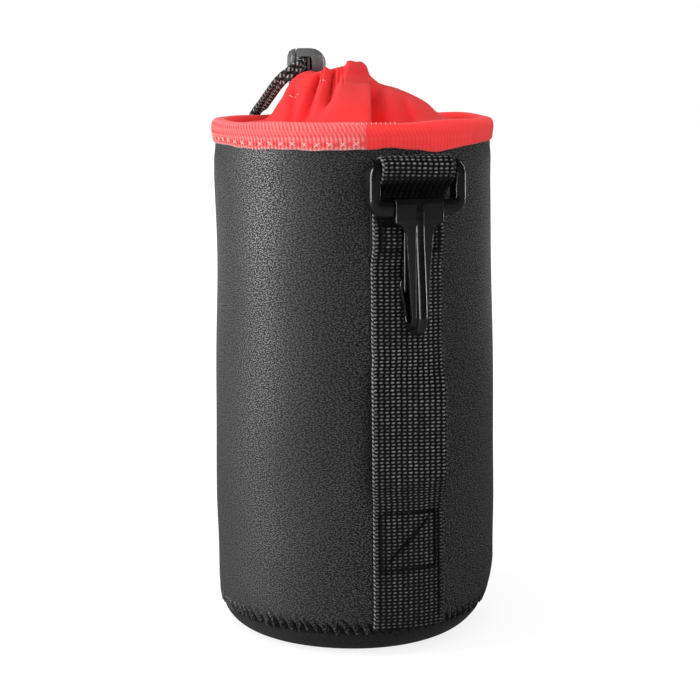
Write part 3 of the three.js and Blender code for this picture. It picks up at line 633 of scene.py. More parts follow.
def add_cord(name, path, *nodes):
    """Puts braided cord on the pouch: yarns that spiral both ways and pass over and under each other."""
    s = arc_length(path)[:, None]
    turn = np.linspace(0, 1, BRAID_SIDES, endpoint=False)[None]
    one = BRAID_YARNS * (turn + s / BRAID_LAY)
    two = BRAID_YARNS * (turn - s / BRAID_LAY)
    over = (np.floor(one) + np.floor(two / 2)) % 2 == 0
    crown = np.where(over, np.sin(math.pi * (one % 1)), np.sin(math.pi * (two % 1)))
    pale = np.where(over & (np.floor(one) % 2 == 1), smooth(0.25, 0.6, crown), 0.0)
    rings = tube_points(path, CORD / 2 + BRAID_RELIEF * (crown - 0.6), BRAID_SIDES)
    uv = ring_uv(s[:, 0], BRAID_SIDES, math.pi * CORD)
    # The hollow mark is painted shade between the crowns of the yarns.
    marks = {"tracer": pale, "hollow_shade": smooth(0.5, 0.1, crown)}
    return add_grid(name, rings, uv, "black_cord", braid, *nodes, caps=True, marks=marks)


braid = braid_finish()
knot_place = np.array(CORD_ROUTE[-1][:3]) - (0, 0, KNOT_LENGTH / 2 + CLEAR)
knot_turn = np.linspace(0, TURN, 200)
knot_size = (KNOT_RADIUS - CORD / 2) / 3
knot_path = np.stack([
    knot_size * (np.sin(knot_turn) + 2 * np.sin(2 * knot_turn)),
    knot_size * (np.cos(knot_turn) - 2 * np.cos(2 * knot_turn)),
    (KNOT_LENGTH - CORD) / 2 * np.sin(3 * knot_turn)], 1)
cord_knot = add_cord("cord_knot", even(from_mouth(knot_path + knot_place), BRAID_STEP), "drawcord_knot")
for tail_name, tail_side, tail_rise in (("upper", 1, UPPER_RISE), ("lower", -1, LOWER_RISE)):
    path = tail_path(tail_side, tail_rise)
    tail = add_cord("cord_tail_" + tail_name, path, "drawcord_tail_" + tail_name)
    end = path[-1] - (0, 0, KNOT_LENGTH + 2 * CLEAR)
    stub = np.linspace(end, end - (0, 0, KNOT_END), STUB_POINTS)
    stub[:, 0] += tail_side * STUB_SPREAD * smooth(0, 1, np.linspace(0, 1, STUB_POINTS))
    add_cord("cord_end_" + tail_name, stub)

# The cord where it lies inside the hem.
HEM_DROP = 2.4
HEM_IN = 2.0
hem_path = []
for past in np.linspace(40, 320, 160):
    settled = float(smooth(40, 85, past) * smooth(320, 275, past))
    hem_path.append(neck_point(CASING_MIDDLE - HEM_IN * settled, EYELET_ANGLE + math.radians(past),
                               CASING_Z - HEM_DROP * settled))
add_cord("cord_in_hem", even(from_mouth(hem_path), BRAID_STEP), "drawcord_loop")

# The neoprene tube and its sewn foot.
AROUND = 960
SEAM_STITCHES = 92
TUFT = 2.6
TUFT_LEAN = 1.0
TUFT_TALL = 5.2
# Each slow wave of the wall: depth, waves round the tube, rise and start.
SAGS = [(0.30, 2, 31, 0.6), (0.22, 3, -19, 2.0), (0.16, 5, 14, 0), (0.14, 4, -9.5, 1.1)]
turn_round = np.linspace(-math.pi, math.pi, AROUND, endpoint=False)


def section_length(r, z):
    return arc_length(np.stack([r, z], 1))


def tuft_phase(turn, z):
    """Where a point lies in the seam's run of leaning, uneven tufts, from 0 to 1 in each."""
    uneven = 0.13 * np.sin(11 * turn + 0.7) + 0.09 * np.sin(23 * turn + 2.1)
    return (SEAM_STITCHES * turn / TURN + uneven + TUFT_LEAN * (z - seam_z) / TUFT_TALL) % 1


def tuft_size(turn):
    """How large the tufts are round the seam; they are pressed flat under the strap."""
    vary = 0.82 + 0.18 * np.sin(7 * turn + 1.3) * np.sin(19 * turn)
    return vary * (0.45 + 0.55 * smooth(0.20, 0.32, np.abs(wrapped(turn + math.pi / 2))))


seam_z = float(foot_curve(SEAM_TURN)[1])
low_turn = np.linspace(SEAM_TURN, math.radians(3.0), 36)
low_r, low_z = foot_curve(low_turn)
wall_z = np.linspace(FOOT_RISE + 1.0, WALL_TOP - 1.5, 120)
outer_r = np.concatenate([low_r, body_out(wall_z)])
outer_z = np.concatenate([low_z, wall_z])
top_turn = np.radians(np.linspace(10, 170, 7))
top_r = RIM_RADIUS - WALL / 2 + WALL / 2 * np.cos(top_turn)
top_z = WALL_TOP - 1.5 + 1.5 * np.sin(top_turn)
inner_z = np.linspace(WALL_TOP - 1.5, seam_z + 1.5, 28)
inner_r = body_out(inner_z) - WALL
section_r = np.concatenate([outer_r, top_r, inner_r])
section_z = np.concatenate([outer_z, top_z, inner_z])
is_outer = (np.arange(len(section_r)) < len(outer_r))[:, None]
T, Z = turn_round[None], section_z[:, None]
wave = sum(deep * np.sin(count * T + Z / rise + start) for deep, count, rise, start in SAGS)
calm = smooth(24, 45, Z) * smooth(172, 155, Z) * smooth(0.30, 0.55, np.abs(wrapped(T + math.pi / 2)))
phase = tuft_phase(T, Z)
crest = smooth(0.10, 0.42, phase) * smooth(0.98, 0.55, phase) * tuft_size(T)
near_seam = smooth(seam_z + 4.6, seam_z + 1.2, Z)
lip = smooth(seam_z + 1.6, seam_z + 0.1, Z)
radial = np.where(is_outer, wave * calm + near_seam * (1.15 * crest - 0.6) - lip * (0.6 - 0.5 * crest), 0.0)
shell_r = section_r[:, None] + radial - 0.35 * smooth(60, 176, Z) - 0.5 * smooth(165, 172, Z)
shell_z = Z - np.where(is_outer, TUFT * lip * (crest - 0.30), 0.0)
shell = slumped(around_axis(shell_r, shell_z, T))
shell_v = section_length(np.append(section_r, section_r[0]), np.append(section_z, section_z[0]))
shell_uv = ring_uv(shell_v, AROUND, TURN * RIM_RADIUS)
body_shell = add_grid("body_shell", shell, shell_uv, "neoprene", neoprene_finish(), "neoprene_body",
                      wrap_rows=True)

# The base: a dish of darker knit that runs up behind the tufts.
dish_turn = np.linspace(math.pi / 2, SEAM_TURN * 0.72, 40)
dish_r, dish_z = foot_curve(dish_turn)
base_mid = np.linspace(0, dish_r[0], 22)[:-1]
lining_z = np.linspace(dish_z[-1], WALL, 12)
lining_r = body_out(lining_z) - WALL
lining_in = np.linspace(lining_r[-1], 0, 10)[1:]
base_r = np.concatenate([base_mid, dish_r, lining_r, lining_in])
base_z = np.concatenate([np.zeros(len(base_mid)), dish_z, lining_z, np.full(len(lining_in), WALL)])
base_outer = (np.arange(len(base_r)) < len(base_mid) + len(dish_r))[:, None]
BZ = base_z[:, None]
gather = np.sin(math.pi * tuft_phase(T, seam_z)) ** 2 * tuft_size(T)
base_dent = np.where(base_outer, smooth(seam_z - 3.6, seam_z - 0.6, BZ) * (0.9 - 0.45 * gather)
                     + 0.5 * smooth(seam_z - 0.6, seam_z + 1.2, BZ), 0.0)
dish = slumped(around_axis(base_r[:, None] - base_dent, np.broadcast_to(BZ, base_dent.shape), T))
dish_uv = ring_uv(section_length(base_r, base_z), AROUND, TURN * RIM_RADIUS)
base_dish = add_grid("base_dish", dish, dish_uv, "neoprene_base", base_finish(), "base_disc")

# The overedge of black thread that joins them, one leaning stitch between each two tufts.
SEAM_THREAD = 0.26
COARSE_THREAD = 0.2
FINE_THREAD = 0.13
seam_paths = []
valleys = turn_round[np.abs(np.diff(np.append(tuft_phase(turn_round, seam_z), 0.0))) > 0.6]
for turn in valleys:
    stitch = []
    for t in np.linspace(0, 1, 8):
        height = seam_z - 2.2 + 5.0 * t
        lean = -TUFT_LEAN * (height - seam_z) / TUFT_TALL * TURN / SEAM_STITCHES
        lift = -0.75 + 0.5 * math.sin(math.pi * t)
        stitch.append(around_axis(body_out(height) + lift, height, turn + lean))
    seam_paths.append(slumped(np.array(stitch)))
black_thread = thread_finish("black_thread", (0.002, 0.002, 0.002), (0.012, 0.012, 0.0125))
sew("base_seam_stitches", seam_paths, SEAM_THREAD, "black_webbing", black_thread)

# The knit tape folded over the rim, its end lapped just left of the strap.
WALE_PITCH = 1.45
TAPE_FOOT = 170.9
TAPE_CROWN = 3.6
RIM_ROUND = 0.75
ZIGZAG_MIDDLE = 1.9
view_turn = VIEW_ANGLE - math.pi / 2


def from_view(turn):
    """The angle from the camera's side, to the right, from -pi to pi."""
    return wrapped(turn - view_turn)


def tape_foot(turn):
    """The height of the tape's outer edge, which runs uneven and dips to the strap's right."""
    side = np.degrees(from_view(turn))
    uneven = 0.14 * np.sin(13 * turn + 1.9) + 0.09 * np.sin(29 * turn) + 0.8 * smooth(50, 68, np.abs(side))
    return TAPE_FOOT + uneven + 0.7 * np.exp(-((side - 14) / 6) ** 2) - 1.2 * np.exp(-((side - 34) / 9) ** 2)


TAPE_ROWS = 30
WALE_COUNT = 216
WALE_COLUMNS = 6
WALE_RELIEF = 0.10
tape_low_r = RIM_RADIUS - 0.2
tape_high_r = RIM_RADIUS + 0.5
arch = np.linspace(0, math.pi, 22)
tape_mid = (tape_high_r + rim_inner) / 2
half_top = (tape_high_r - rim_inner) / 2
tape_cols = np.linspace(-math.pi, math.pi, WALE_COUNT * WALE_COLUMNS, endpoint=False)
lap_back = (math.radians(LAP_ANGLE) - tape_cols) % TURN
lap = LAP_STEP * np.clip(1 - lap_back / math.radians(LAP_RUN), 0, 1)
lap = lap * smooth(0.0, math.radians(0.5), lap_back)
left_side = smooth(math.radians(150), math.radians(110), lap_back) * smooth(0, math.radians(0.5), lap_back)


def tape_out(height, low, high, turn):
    """The tape's outer radius: sewn tight at its lower edge, fuller towards the rim."""
    full = lerp(tape_low_r, tape_high_r, np.clip((height - low) / (high - low), 0, 1) ** 0.7)
    sewn = 0.04 * np.exp(-((height - low - ZIGZAG_MIDDLE) / 0.8) ** 2)
    ripple = (0.10 * np.sin(41 * turn) + 0.08 * np.sin(23 * turn + 1)) * smooth(high, low, height)
    return full - sewn + ripple


tape_high = rim_top - TAPE_CROWN
tape_points = []
for k, (turn, step) in enumerate(zip(tape_cols, lap)):
    low = float(tape_foot(turn))
    rise = np.linspace(low, tape_high, TAPE_ROWS)[:-1]
    rib = -WALE_RELIEF * (0.3 + 0.7 * left_side[k]) * math.cos(TURN * k / WALE_COLUMNS)
    out_r = tape_out(rise, low, tape_high, turn) + step + rib
    out_r = out_r - 0.25 * smooth(low + 0.6, low, rise)
    reach = half_top + (step + rib) * 0.5
    top_round_r = tape_mid + reach * fuller(np.cos(arch), RIM_ROUND) + (step + rib) * 0.5
    crown_rise = 0.25 * math.sin(5 * turn + 0.6) + 0.15 * math.sin(9 * turn)
    top_round_z = tape_high + (TAPE_CROWN + crown_rise) * fuller(np.sin(arch), RIM_ROUND)
    drop = np.linspace(tape_high, rim_top - TAPE_INNER_DROP, 6)[1:]
    back_up = np.linspace(rim_top - TAPE_INNER_DROP, tape_high, 5)
    under = arch[::-3]
    under_r = tape_mid + (half_top - TAPE) * np.cos(under)
    under_z = tape_high + (TAPE_CROWN - TAPE) * np.sin(under)
    down = np.linspace(tape_high, low, 10)[1:]
    r = np.concatenate([out_r, top_round_r, np.full(5, rim_inner), np.full(5, rim_inner + TAPE), under_r,
                        np.full(9, tape_low_r - 0.5)])
    z = np.concatenate([rise, top_round_z, drop, back_up, under_z, down])
    tape_points.append(around_axis(r, z, turn))
tape_points = np.swapaxes(np.array(tape_points), 0, 1)
tape_v = arc_length(np.vstack([tape_points[:, 0], tape_points[:1, 0]]))
tape_uv = ring_uv(tape_v, len(tape_cols), WALE_COUNT * WALE_PITCH)
outer_rows = np.arange(len(tape_points))[:, None] < TAPE_ROWS + len(arch) // 2
knit_mark = np.where(outer_rows, 0.15 + 0.85 * left_side, 0.1)
binding = add_grid("binding_tape", tape_points, tape_uv, "red_binding", binding_finish(), "rim_binding",
                   wrap_rows=True, marks={"knit": knit_mark})
binding.visible_glossy = False

# The row of crossed pale stitches that sews the tape down, with small red loops between the crosses.
CROSSES = 72
CROSS_WIDE = 0.9
CROSS_TALL = 0.6
LOOP_SIZE = 0.5
STITCH_LIFT = 0.05


def on_tape(turn, across, above):
    """A point on the tape's outer face, by its place from a stitch's middle on the sewn row."""
    turn = turn + across / tape_high_r
    low = float(tape_foot(turn))
    z = low + ZIGZAG_MIDDLE + above
    r = tape_out(z, low, tape_high, turn) + np.interp(turn, tape_cols, lap) + STITCH_LIFT
    return around_axis(r, z, turn)


cross_paths, loop_paths = [], []
for k in range(CROSSES):
    middle_turn = TURN * k / CROSSES - math.pi
    if np.interp(middle_turn, tape_cols, left_side) < 0.3:
        continue
    for lean in (-1, 1):
        wide = lean * CROSS_WIDE * (0.8 + 0.35 * math.sin(k * 2.3 + lean))
        cross_paths.append([on_tape(middle_turn, wide * t, CROSS_TALL * t) for t in np.linspace(-1, 1, 6)])
    loop_turn = middle_turn + math.pi / CROSSES
    loop_paths.append([on_tape(loop_turn, LOOP_SIZE * math.cos(a), LOOP_SIZE * math.sin(a))
                       for a in np.linspace(0, TURN, 10)])
pale_thread = thread_finish("pale_thread", (0.97, 0.48, 0.45), (1.0, 0.64, 0.60))
red_thread = thread_finish("red_thread", (0.86, 0.030, 0.032), (0.92, 0.05, 0.05))
sew("binding_stitches", cross_paths, COARSE_THREAD, "red_binding", pale_thread)
sew("binding_loops", loop_paths, FINE_THREAD, "red_binding", red_thread)

# The overlock along the rim's front edge beside the lap.
OVERLOCK_PITCH = 1.6
OVERLOCK_COUNT = 12
OVERLOCK_START = math.radians(-4)
OVERLOCK_LIFT = 0.08
overlock_paths = []
for k in range(OVERLOCK_COUNT):
    turn = view_turn + OVERLOCK_START + k * OVERLOCK_PITCH / tape_high_r
    step = float(np.interp(turn, tape_cols, lap))
    stitch = []
    for a in np.radians(np.linspace(50, 72, 5)):
        r = tape_mid + (half_top + step) * math.cos(a) ** RIM_ROUND + OVERLOCK_LIFT
        z = tape_high + (TAPE_CROWN + OVERLOCK_LIFT) * math.sin(a) ** RIM_ROUND
        stitch.append(around_axis(r, z, turn))
    overlock_paths.append(stitch)
sew("binding_overlock", overlock_paths, FINE_THREAD, "red_binding", pale_thread)

# The thin collar, drawn in to a small neck that leans to the left and peaks at the right.
# From the seam inside the rim to the turned-in hem: left edge's place and height, right edge's the same.
STATIONS = [
    (-42.7, 171.0, 42.7, 171.0), (-42.7, 175.6, 42.7, 175.6), (-38.5, 177.6, 38.5, 177.8),
    (-32.2, 178.4, 33.2, 178.7), (-28.4, 180.5, 29.4, 180.8), (-26.0, 183.8, 26.0, 184.0),
    (-24.0, 186.7, 21.6, 186.6), (-22.8, 189.2, 15.8, 189.1), (-20.9, 191.8, 9.6, 191.2),
    (-18.9, 193.4, 6.4, 193.6), (-16.4, 194.3, 4.8, 197.2), (-13.8, 194.4, 2.8, 198.4),
    (-11.8, 193.0, 0.0, 197.0), (-12.6, 188.0, -1.2, 191.6)]
COLLAR_STEPS = 10
COLLAR_AROUND = 600
CLOTH = 0.5
LOCK_SADDLE = 3.8
FOLD_LOW = 178.5
FOLD_HIGH = 195.5
FOLD_SPAN = 24.0
collar_line = catmull(STATIONS, COLLAR_STEPS)
collar_t = np.linspace(0, len(STATIONS) - 1, len(collar_line))[:, None]
collar_turn = full_turn(COLLAR_AROUND)[None]
collar_deg = np.degrees(collar_turn)
left_x, left_z, right_x, right_z = (collar_line[:, k:k + 1] for k in range(4))


def angle_from(place):
    return (collar_deg - place + 180) % 360 - 180


half_wide = (right_x - left_x) / 2
collar_x = (left_x + right_x) / 2 + half_wide * np.cos(collar_turn)
mid_z = (left_z + right_z) / 2
in_front = smooth(0.05, -0.25, np.sin(collar_turn))


def ridge(off, left, right, height, start, end):
    """A crease or ridge, steeper on one side, that fades out past the given stations."""
    shape = np.where(off < 0, np.exp(-(off / left) ** 2), np.exp(-(off / right) ** 2))
    return height * shape * smooth(start - 1, start + 1.5, collar_t) * smooth(end + 1.5, end, collar_t)


def front_fold(base, hem, left, right, height, start=3.4, end=10.5):
    """A fold of the front, by its places across at the collar's base and at its hem."""
    line = lerp(base, hem, np.clip((mid_z - FOLD_LOW) / (FOLD_HIGH - FOLD_LOW), 0, 1.2))
    narrow = half_wide / FOLD_SPAN
    return ridge(collar_x - line, left * narrow, right * narrow, height, start, end) * in_front


def side_fold(base, hem, left, right, height, start=3.4, end=10.5):
    """A fold of the sides and back, by its angles at the collar's base and at its hem."""
    off = angle_from(lerp(base, hem, smooth(2.5, 9.0, collar_t)))
    return ridge(off, left, right, height, start, end)


# Each fold: place at the base and at the hem, spread to either side, height, and the stations it spans.
FRONT_FOLDS = [
    (6.9, 6.6, 0.6, 4.4, -5.0, 2.6, 7.0), (6.3, 6.0, 6.0, 0.5, 0.9, 2.6, 7.0),
    (20.5, 14.5, 3.4, 1.0, -1.6, 2.2, 5.2), (-17.3, -11.1, 1.7, 2.2, -2.5, 3.4, 8.8),
    (-13.4, -9.2, 2.2, 2.2, 1.2), (-10.0, -6.6, 1.5, 2.0, -2.7, 5.2, 9.4), (-8.6, -1.5, 1.9, 6.5, 1.6),
    (-21.6, -19.5, 1.2, 1.9, -1.6, 2.6, 6.5)]
SIDE_FOLDS = [
    (196, 200, 8, 8, 0.8), (20, 10, 9, 11, -2.0), (60, 45, 9, 11, -2.0), (92, 80, 9, 11, -1.8),
    (150, 150, 9, 11, -1.6), (178, 182, 9, 9, -1.4), (24, 22, 3.0, 3.5, -0.8, 6.4, 11.0)]
PLEATS = [(-8.2, -6.9), (-6.6, -5.6), (-5.0, -4.3), (-3.3, -3.0), (-11.9, -9.6)]
PLEAT_SHAPE = (0.45, 0.45, -0.75, 7.2, 11.0)
# Scales fold height into the painted fold shading: folds of half this height reach full painted shade or
# painted light.
FOLD_SHADE_SPAN = 6.0
folds = sum(front_fold(*f) for f in FRONT_FOLDS) + sum(side_fold(*f) for f in SIDE_FOLDS)
folds = folds + sum(front_fold(*ends, *PLEAT_SHAPE) for ends in PLEATS)
neck_share = smooth(4.5, 9.0, collar_t)
saddle = LOCK_SADDLE * np.exp(-(angle_from(135) / 44) ** 6) * smooth(5.5, 9.0, collar_t)
flat_collar = np.stack(np.broadcast_arrays(
    collar_x,
    NECK_SHIFT[1] * neck_share + (half_wide - 0.6 * neck_share) * np.sin(collar_turn),
    mid_z + (right_z - left_z) / 2 * np.cos(collar_turn) - saddle), -1)
along = np.gradient(flat_collar, axis=0)
across = (np.roll(flat_collar, -1, axis=1) - np.roll(flat_collar, 1, axis=1)) / 2
collar_normal = unit(np.cross(across, along))
collar_points = from_mouth(flat_collar + collar_normal * folds[..., None])
collar_v = section_length(right_x[:, 0], right_z[:, 0])
collar_base = TURN * STATIONS[0][2]
collar_uv = ring_uv(collar_v, COLLAR_AROUND, collar_base)
# Painted fold shading for the cloth, from 0 deep in a valley to 1 high on a ridge.
fold_shade_mark = np.clip(0.5 + folds / FOLD_SHADE_SPAN, 0, 1)
collar = add_grid("collar_cloth", collar_points, collar_uv, "red_cloth", collar_finish(),
                  "drawstring_collar", marks={"crest": fold_shade_mark})
thick = collar.modifiers.new("cloth", "SOLIDIFY")
thick.thickness = CLOTH * MM
thick.offset = 0

# The stitches that close the hem round the cord: pale along two arcs, red elsewhere.
PALE_ARCS = ((203, 219), (239, 255))
hem_face = collar_points + from_mouth(collar_normal) * (CLOTH / 2)
hem_paths = {"pale": [], "red": []}
for k in range(0, COLLAR_AROUND, 9):
    steps = np.arange(k, k + 7) % COLLAR_AROUND
    degrees = collar_deg[0, k]
    high = smooth(205, 245, degrees) * smooth(360, 340, degrees)
    rows = np.full(len(steps), int(round(lerp(6.3, 8.0, float(high)) * COLLAR_STEPS)))
    kind = "pale" if any(low < degrees < top for low, top in PALE_ARCS) else "red"
    hem_paths[kind].append(hem_face[rows, steps])
for kind, thread in (("pale", pale_thread), ("red", red_thread)):
    sew("hem_stitches_" + kind, hem_paths[kind], FINE_THREAD, "red_cloth", thread)

# The webbing strap: sewn low, standing off as a belt loop, sewn again and folded round the hook's frame.
ROW_PITCH = 1.2
WALES = 13
WALE_STEPS = 7
ROW_STEPS = 5
PICK_RELIEF = 0.26
tack_low = LOW_BAR_Z - TACK_DROP
wrap = TOP_BAR_RADIUS + CLEAR + WEB / 2


def loop_bow(z):
    return smooth(LOOP_LOW, LOOP_LOW + LOOP_EASE, z) * (1 - smooth(LOOP_HIGH - LOOP_EASE, LOOP_HIGH, z))


def seated(z):
    return float(body_out(z)) + CLEAR + WEB / 2


def strap_line():
    """The strap's middle line as distance from the axis, height, and how far it follows the tube's curve."""
    low_end = tack_low - 3
    line = []
    for i in range(23):
        z = lerp(seam_z + 0.5, low_end, (i / 22) ** 1.25)
        bow = float(loop_bow(z))
        line.append((seated(z) + (BELT_GAP - CLEAR) * bow, z, 1 - bow))

    def doubled(z):
        return seated(z) + WEB + CLEAR

    line += [(doubled(tack_low + 3), tack_low + 3, 1), (doubled(LOW_BAR_Z - 5), LOW_BAR_Z - 5, 1),
             (doubled(LOW_BAR_Z), LOW_BAR_Z, 0.9), (doubled(LOW_BAR_Z + 3) + 0.1, LOW_BAR_Z + 3, 0.6),
             (BAR_OUT - 1.7, LOW_BAR_Z + 6.2, 0.25), (BAR_OUT + wrap * 0.6, TOP_BAR_Z - wrap - 0.9, 0)]
    for a in np.radians(np.linspace(-25, 165, 9)):
        line.append((BAR_OUT + wrap * math.cos(a), TOP_BAR_Z + wrap * math.sin(a), 0))
    line.append((seated(TOP_BAR_Z - 6.2) + 0.6, TOP_BAR_Z - 6.2, 0.4))
    for z, follow in ((LOW_BAR_Z + 2, 0.9), (LOW_BAR_Z - 4, 1), (tack_low, 1)):
        line.append((seated(z), z, follow))
    return line


def stitch_box(left, right, low, high, extra=()):
    """The sewn lines of a box on the strap, as pairs of ends in width and height."""
    return [((left, low), (left, high)), ((right, low), (right, high)), ((left, low), (right, low)),
            ((left, high), (right, high)), *extra]


LOW_EXTRA = (((-7.4, 34.0), (6.4, 47.6)), ((10.6, 14.0), (10.6, 50.0)))
LOW_BOX = stitch_box(-10.4, 9.2, 30.6, 50.0, LOW_EXTRA)
TOP_BOX = stitch_box(-10.0, 10.0, tack_low + 1.5, tack_low + 10.5)
strap_path = even(catmull(strap_line(), 12), ROW_PITCH / ROW_STEPS)
strap_s = arc_length(strap_path[:, :2])
strap_top = int(np.argmax(strap_path[:, 1]))
half_web = WEB_WIDTH / 2
cross = np.linspace(-half_web, half_web, WALES * WALE_STEPS + 1)


def strap_middle(x):
    """The strap's middle surface at the given places across its width."""
    out, z, curve = (strap_path[:, k:k + 1] for k in range(3))
    x = np.asarray(x, float)[None]
    bow = loop_bow(z) * (np.arange(len(z))[:, None] < strap_top)
    sag = curve * (out - np.sqrt(out**2 - x**2))
    turned = x * math.tan(LOOP_TURN) * bow
    return np.stack(np.broadcast_arrays(x - LOOP_LEAN * bow, -(out - sag) - turned, z), -1)


def line_distance(x, z, ends):
    (ax, az), (bx, bz) = ends
    t = np.clip(((x - ax) * (bx - ax) + (z - az) * (bz - az)) / ((bx - ax) ** 2 + (bz - az) ** 2), 0, 1)
    return np.hypot(x - lerp(ax, bx, t), z - lerp(az, bz, t))


middle = strap_middle(cross)
strap_normal = unit(np.cross(np.gradient(middle, axis=1), np.gradient(middle, axis=0)))
row = strap_s[:, None] / ROW_PITCH + 0.35 * np.sin(cross[None] / 9)
wale = (cross[None] + half_web) / WEB_WIDTH * WALES + 0.12 * (np.floor(row) % 2)
row_crown = np.sin(math.pi * (row % 1)) ** 2.2
wale_crown = smooth(0.46, 0.08, np.abs(wale % 1 - 0.5))
pick = row_crown * wale_crown
front = np.arange(len(strap_s))[:, None] < strap_top
sewn = np.full(pick.shape, 9.0)
for ends in LOW_BOX + TOP_BOX:
    reach = line_distance(cross[None], strap_path[:, 1:2], ends)
    sewn = np.where(front, np.minimum(sewn, reach), sewn)
pressed = np.exp(-((sewn / 0.75) ** 2))
relief = PICK_RELIEF * (pick - 0.5) * (1 - 0.6 * pressed) - 0.42 * pressed
edge_round = 0.35 * smooth(half_web - 1.0, half_web, np.abs(cross))[None]
outer_face = middle + strap_normal * (WEB / 2 - 0.1 + relief - edge_round)[..., None]
inner_face = (middle - strap_normal * (WEB / 2 - 0.1))[:, ::WALE_STEPS]
strap_ring = np.concatenate([outer_face, inner_face[:, ::-1]], 1)
strap_z = strap_path[:, 1:2]
# Painted shade: where the strap turns in under its fold, its painted highlights are taken out.
under_fold_shade = smooth(TOP_BAR_Z - 1.6, TOP_BAR_Z - 3.9, strap_z) * smooth(tack_low + 9, tack_low + 12, strap_z)
# Painted highlights on the picks' crowns: brighter or dimmer at random from pick to pick, weaker towards the
# strap's lower end, and left out near the stitches where the picks are pressed down.
pick_light = np.random.default_rng(7).uniform(0.45, 1.0, (int(row.max()) + 2, WALES + 2))
light_here = pick_light[np.floor(row).astype(int), np.clip(np.floor(wale), 0, WALES).astype(int)]
dash = smooth(0.20, 0.75, row_crown**2 * wale_crown) * light_here * lerp(0.6, 1.0, smooth(25, 75, strap_z))
dash = dash * (1 - 0.9 * pressed) * (1 - 0.92 * under_fold_shade)
pick_highlight_mark = np.concatenate([dash, np.zeros(inner_face.shape[:2])], 1)
strap_marks = {"pick": pick_highlight_mark, "edge": np.zeros(pick_highlight_mark.shape)}
strap_u = np.concatenate([cross, cross[::WALE_STEPS][::-1], cross[:1]])
strap_uv = np.stack(np.broadcast_arrays(strap_u[None], strap_s[:, None]), -1)
webbing = webbing_finish()
add_grid("strap_webbing", strap_ring, strap_uv, "black_webbing", webbing, "belt_strap", caps=True,
         marks=strap_marks)

# Its selvages, where the filling yarn turns back in a row of beads, with painted highlights on the beads'
# outward faces, full on the left selvage and faint on the right.
SELVAGE = 0.40
SELVAGE_SIDES = 12
BEAD_PITCH = 1.5
slant = full_turn(SELVAGE_SIDES)[None]
bead = 0.5 + 0.5 * np.cos(TURN * strap_s[:, None] / BEAD_PITCH + slant)
selvage_uv = ring_uv(strap_s, SELVAGE_SIDES, TURN * SELVAGE)
for side_name, side, bright in (("left", 0, 1.0), ("right", -1, 0.15)):
    path = middle[:, side]
    rings = tube_points(path, SELVAGE * (0.84 + 0.16 * bead), SELVAGE_SIDES)
    outward = np.sum(unit(rings - path[:, None]) * strap_normal[:, side][:, None], -1)
    # Painted highlight: the bead crowns that face out from the strap are painted pale, strongly on the left
    # selvage and faintly on the right.
    shine = smooth(0.3, 0.9, bead) * smooth(0.0, 0.6, outward) * bright
    add_grid("strap_selvage_" + side_name, rings, selvage_uv, "black_webbing", webbing, caps=True,
             marks={"pick": shine, "edge": shine})

# The sewn boxes on the strap.
STITCH = 2.4
STITCH_GAP = 0.5
STITCH_SINK = 0.28
sewn_face = middle + strap_normal * (WEB / 2 - STITCH_SINK)


def on_strap(x, z):
    """A point just on the strap's outer face."""
    r = np.interp(z, strap_path[:strap_top, 1], np.arange(strap_top))
    c = np.interp(x, cross, np.arange(len(cross)))
    i, j = int(r), min(int(c), len(cross) - 2)
    a, b = r - i, c - j
    near, far = (lerp(sewn_face[i, side], sewn_face[i + 1, side], a) for side in (j, j + 1))
    return lerp(near, far, b)


def sewn_line(ends):
    (ax, az), (bx, bz) = ends
    run = math.hypot(bx - ax, bz - az)
    count = max(1, int(run / (STITCH + STITCH_GAP)))
    paths = []
    for k in range(count):
        begin, finish_at = (k + 0.08) / count, (k + 0.92) / count
        paths.append([on_strap(lerp(ax, bx, t), lerp(az, bz, t)) for t in np.linspace(begin, finish_at, 6)])
    return paths


box_paths = [path for ends in LOW_BOX + TOP_BOX for path in sewn_line(ends)]
sew("strap_box_stitches", box_paths, COARSE_THREAD, "black_webbing", black_thread)

# The moulded hook, its frame and gate, and the cord lock.
PLASTICS = {"hook_plastic": plastic_finish("hook_plastic", (0.0022, 0.0022, 0.0023), 0.10, 0.006),
            "lock_plastic": plastic_finish("lock_plastic", (0.085, 0.085, 0.087), 0.36, 0.010)}
# Each moulding: piece, solid, body, plastic, voxel, smoothing passes and swelling.
MOULDINGS = [
    ("hook_ring", "hook_frame", "frame", "hook_plastic", 0.22, 24, 0.40),
    ("hook_shank", "hook_body", "hook", "hook_plastic", 0.22, 9, 0.10),
    ("hook_tongue", "hook_gate", "gate", "hook_plastic", 0.22, 9, 0.08),
    ("lock_shell", "cord_lock_barrel", "pouch", "lock_plastic", 0.14, 5, 0.04),
    ("lock_button", "cord_lock_plunger", "lock_plunger", "lock_plastic", 0.14, 4, 0.04)]
FOLD_ROOM = WEB_WIDTH / 2 + 0.75
FOLD_REACH = 6.0
FOLD_CORNER = (11.0, 12.2)


def make_fold_room(mesh):
    """Keeps the ring's corners square beside its top bar, where the strap's fold turns."""
    place = vertex_values(mesh, "co").reshape(-1, 3) / MM
    side = np.abs(place[:, 0])
    away = np.hypot(place[:, 1] + BAR_OUT, place[:, 2] - TOP_BAR_Z)
    off_bar = smooth(TOP_BAR_RADIUS, TOP_BAR_RADIUS + CLEAR, away) * (away < FOLD_REACH)
    beside = off_bar * smooth(*FOLD_CORNER, side)
    place[:, 0] = np.sign(place[:, 0]) * lerp(side, np.maximum(side, FOLD_ROOM), beside)
    mesh.vertices.foreach_set("co", (place * MM).ravel())


glossy_pieces = []
for piece_name, node, body, slot, voxel, passes, swell in MOULDINGS:
    mesh = moulded(piece_name, node, voxel, passes, swell)
    if node == "hook_frame":
        make_fold_room(mesh)
    glossy_pieces.append(add_piece(piece_name, mesh, body, slot, PLASTICS[slot], node))

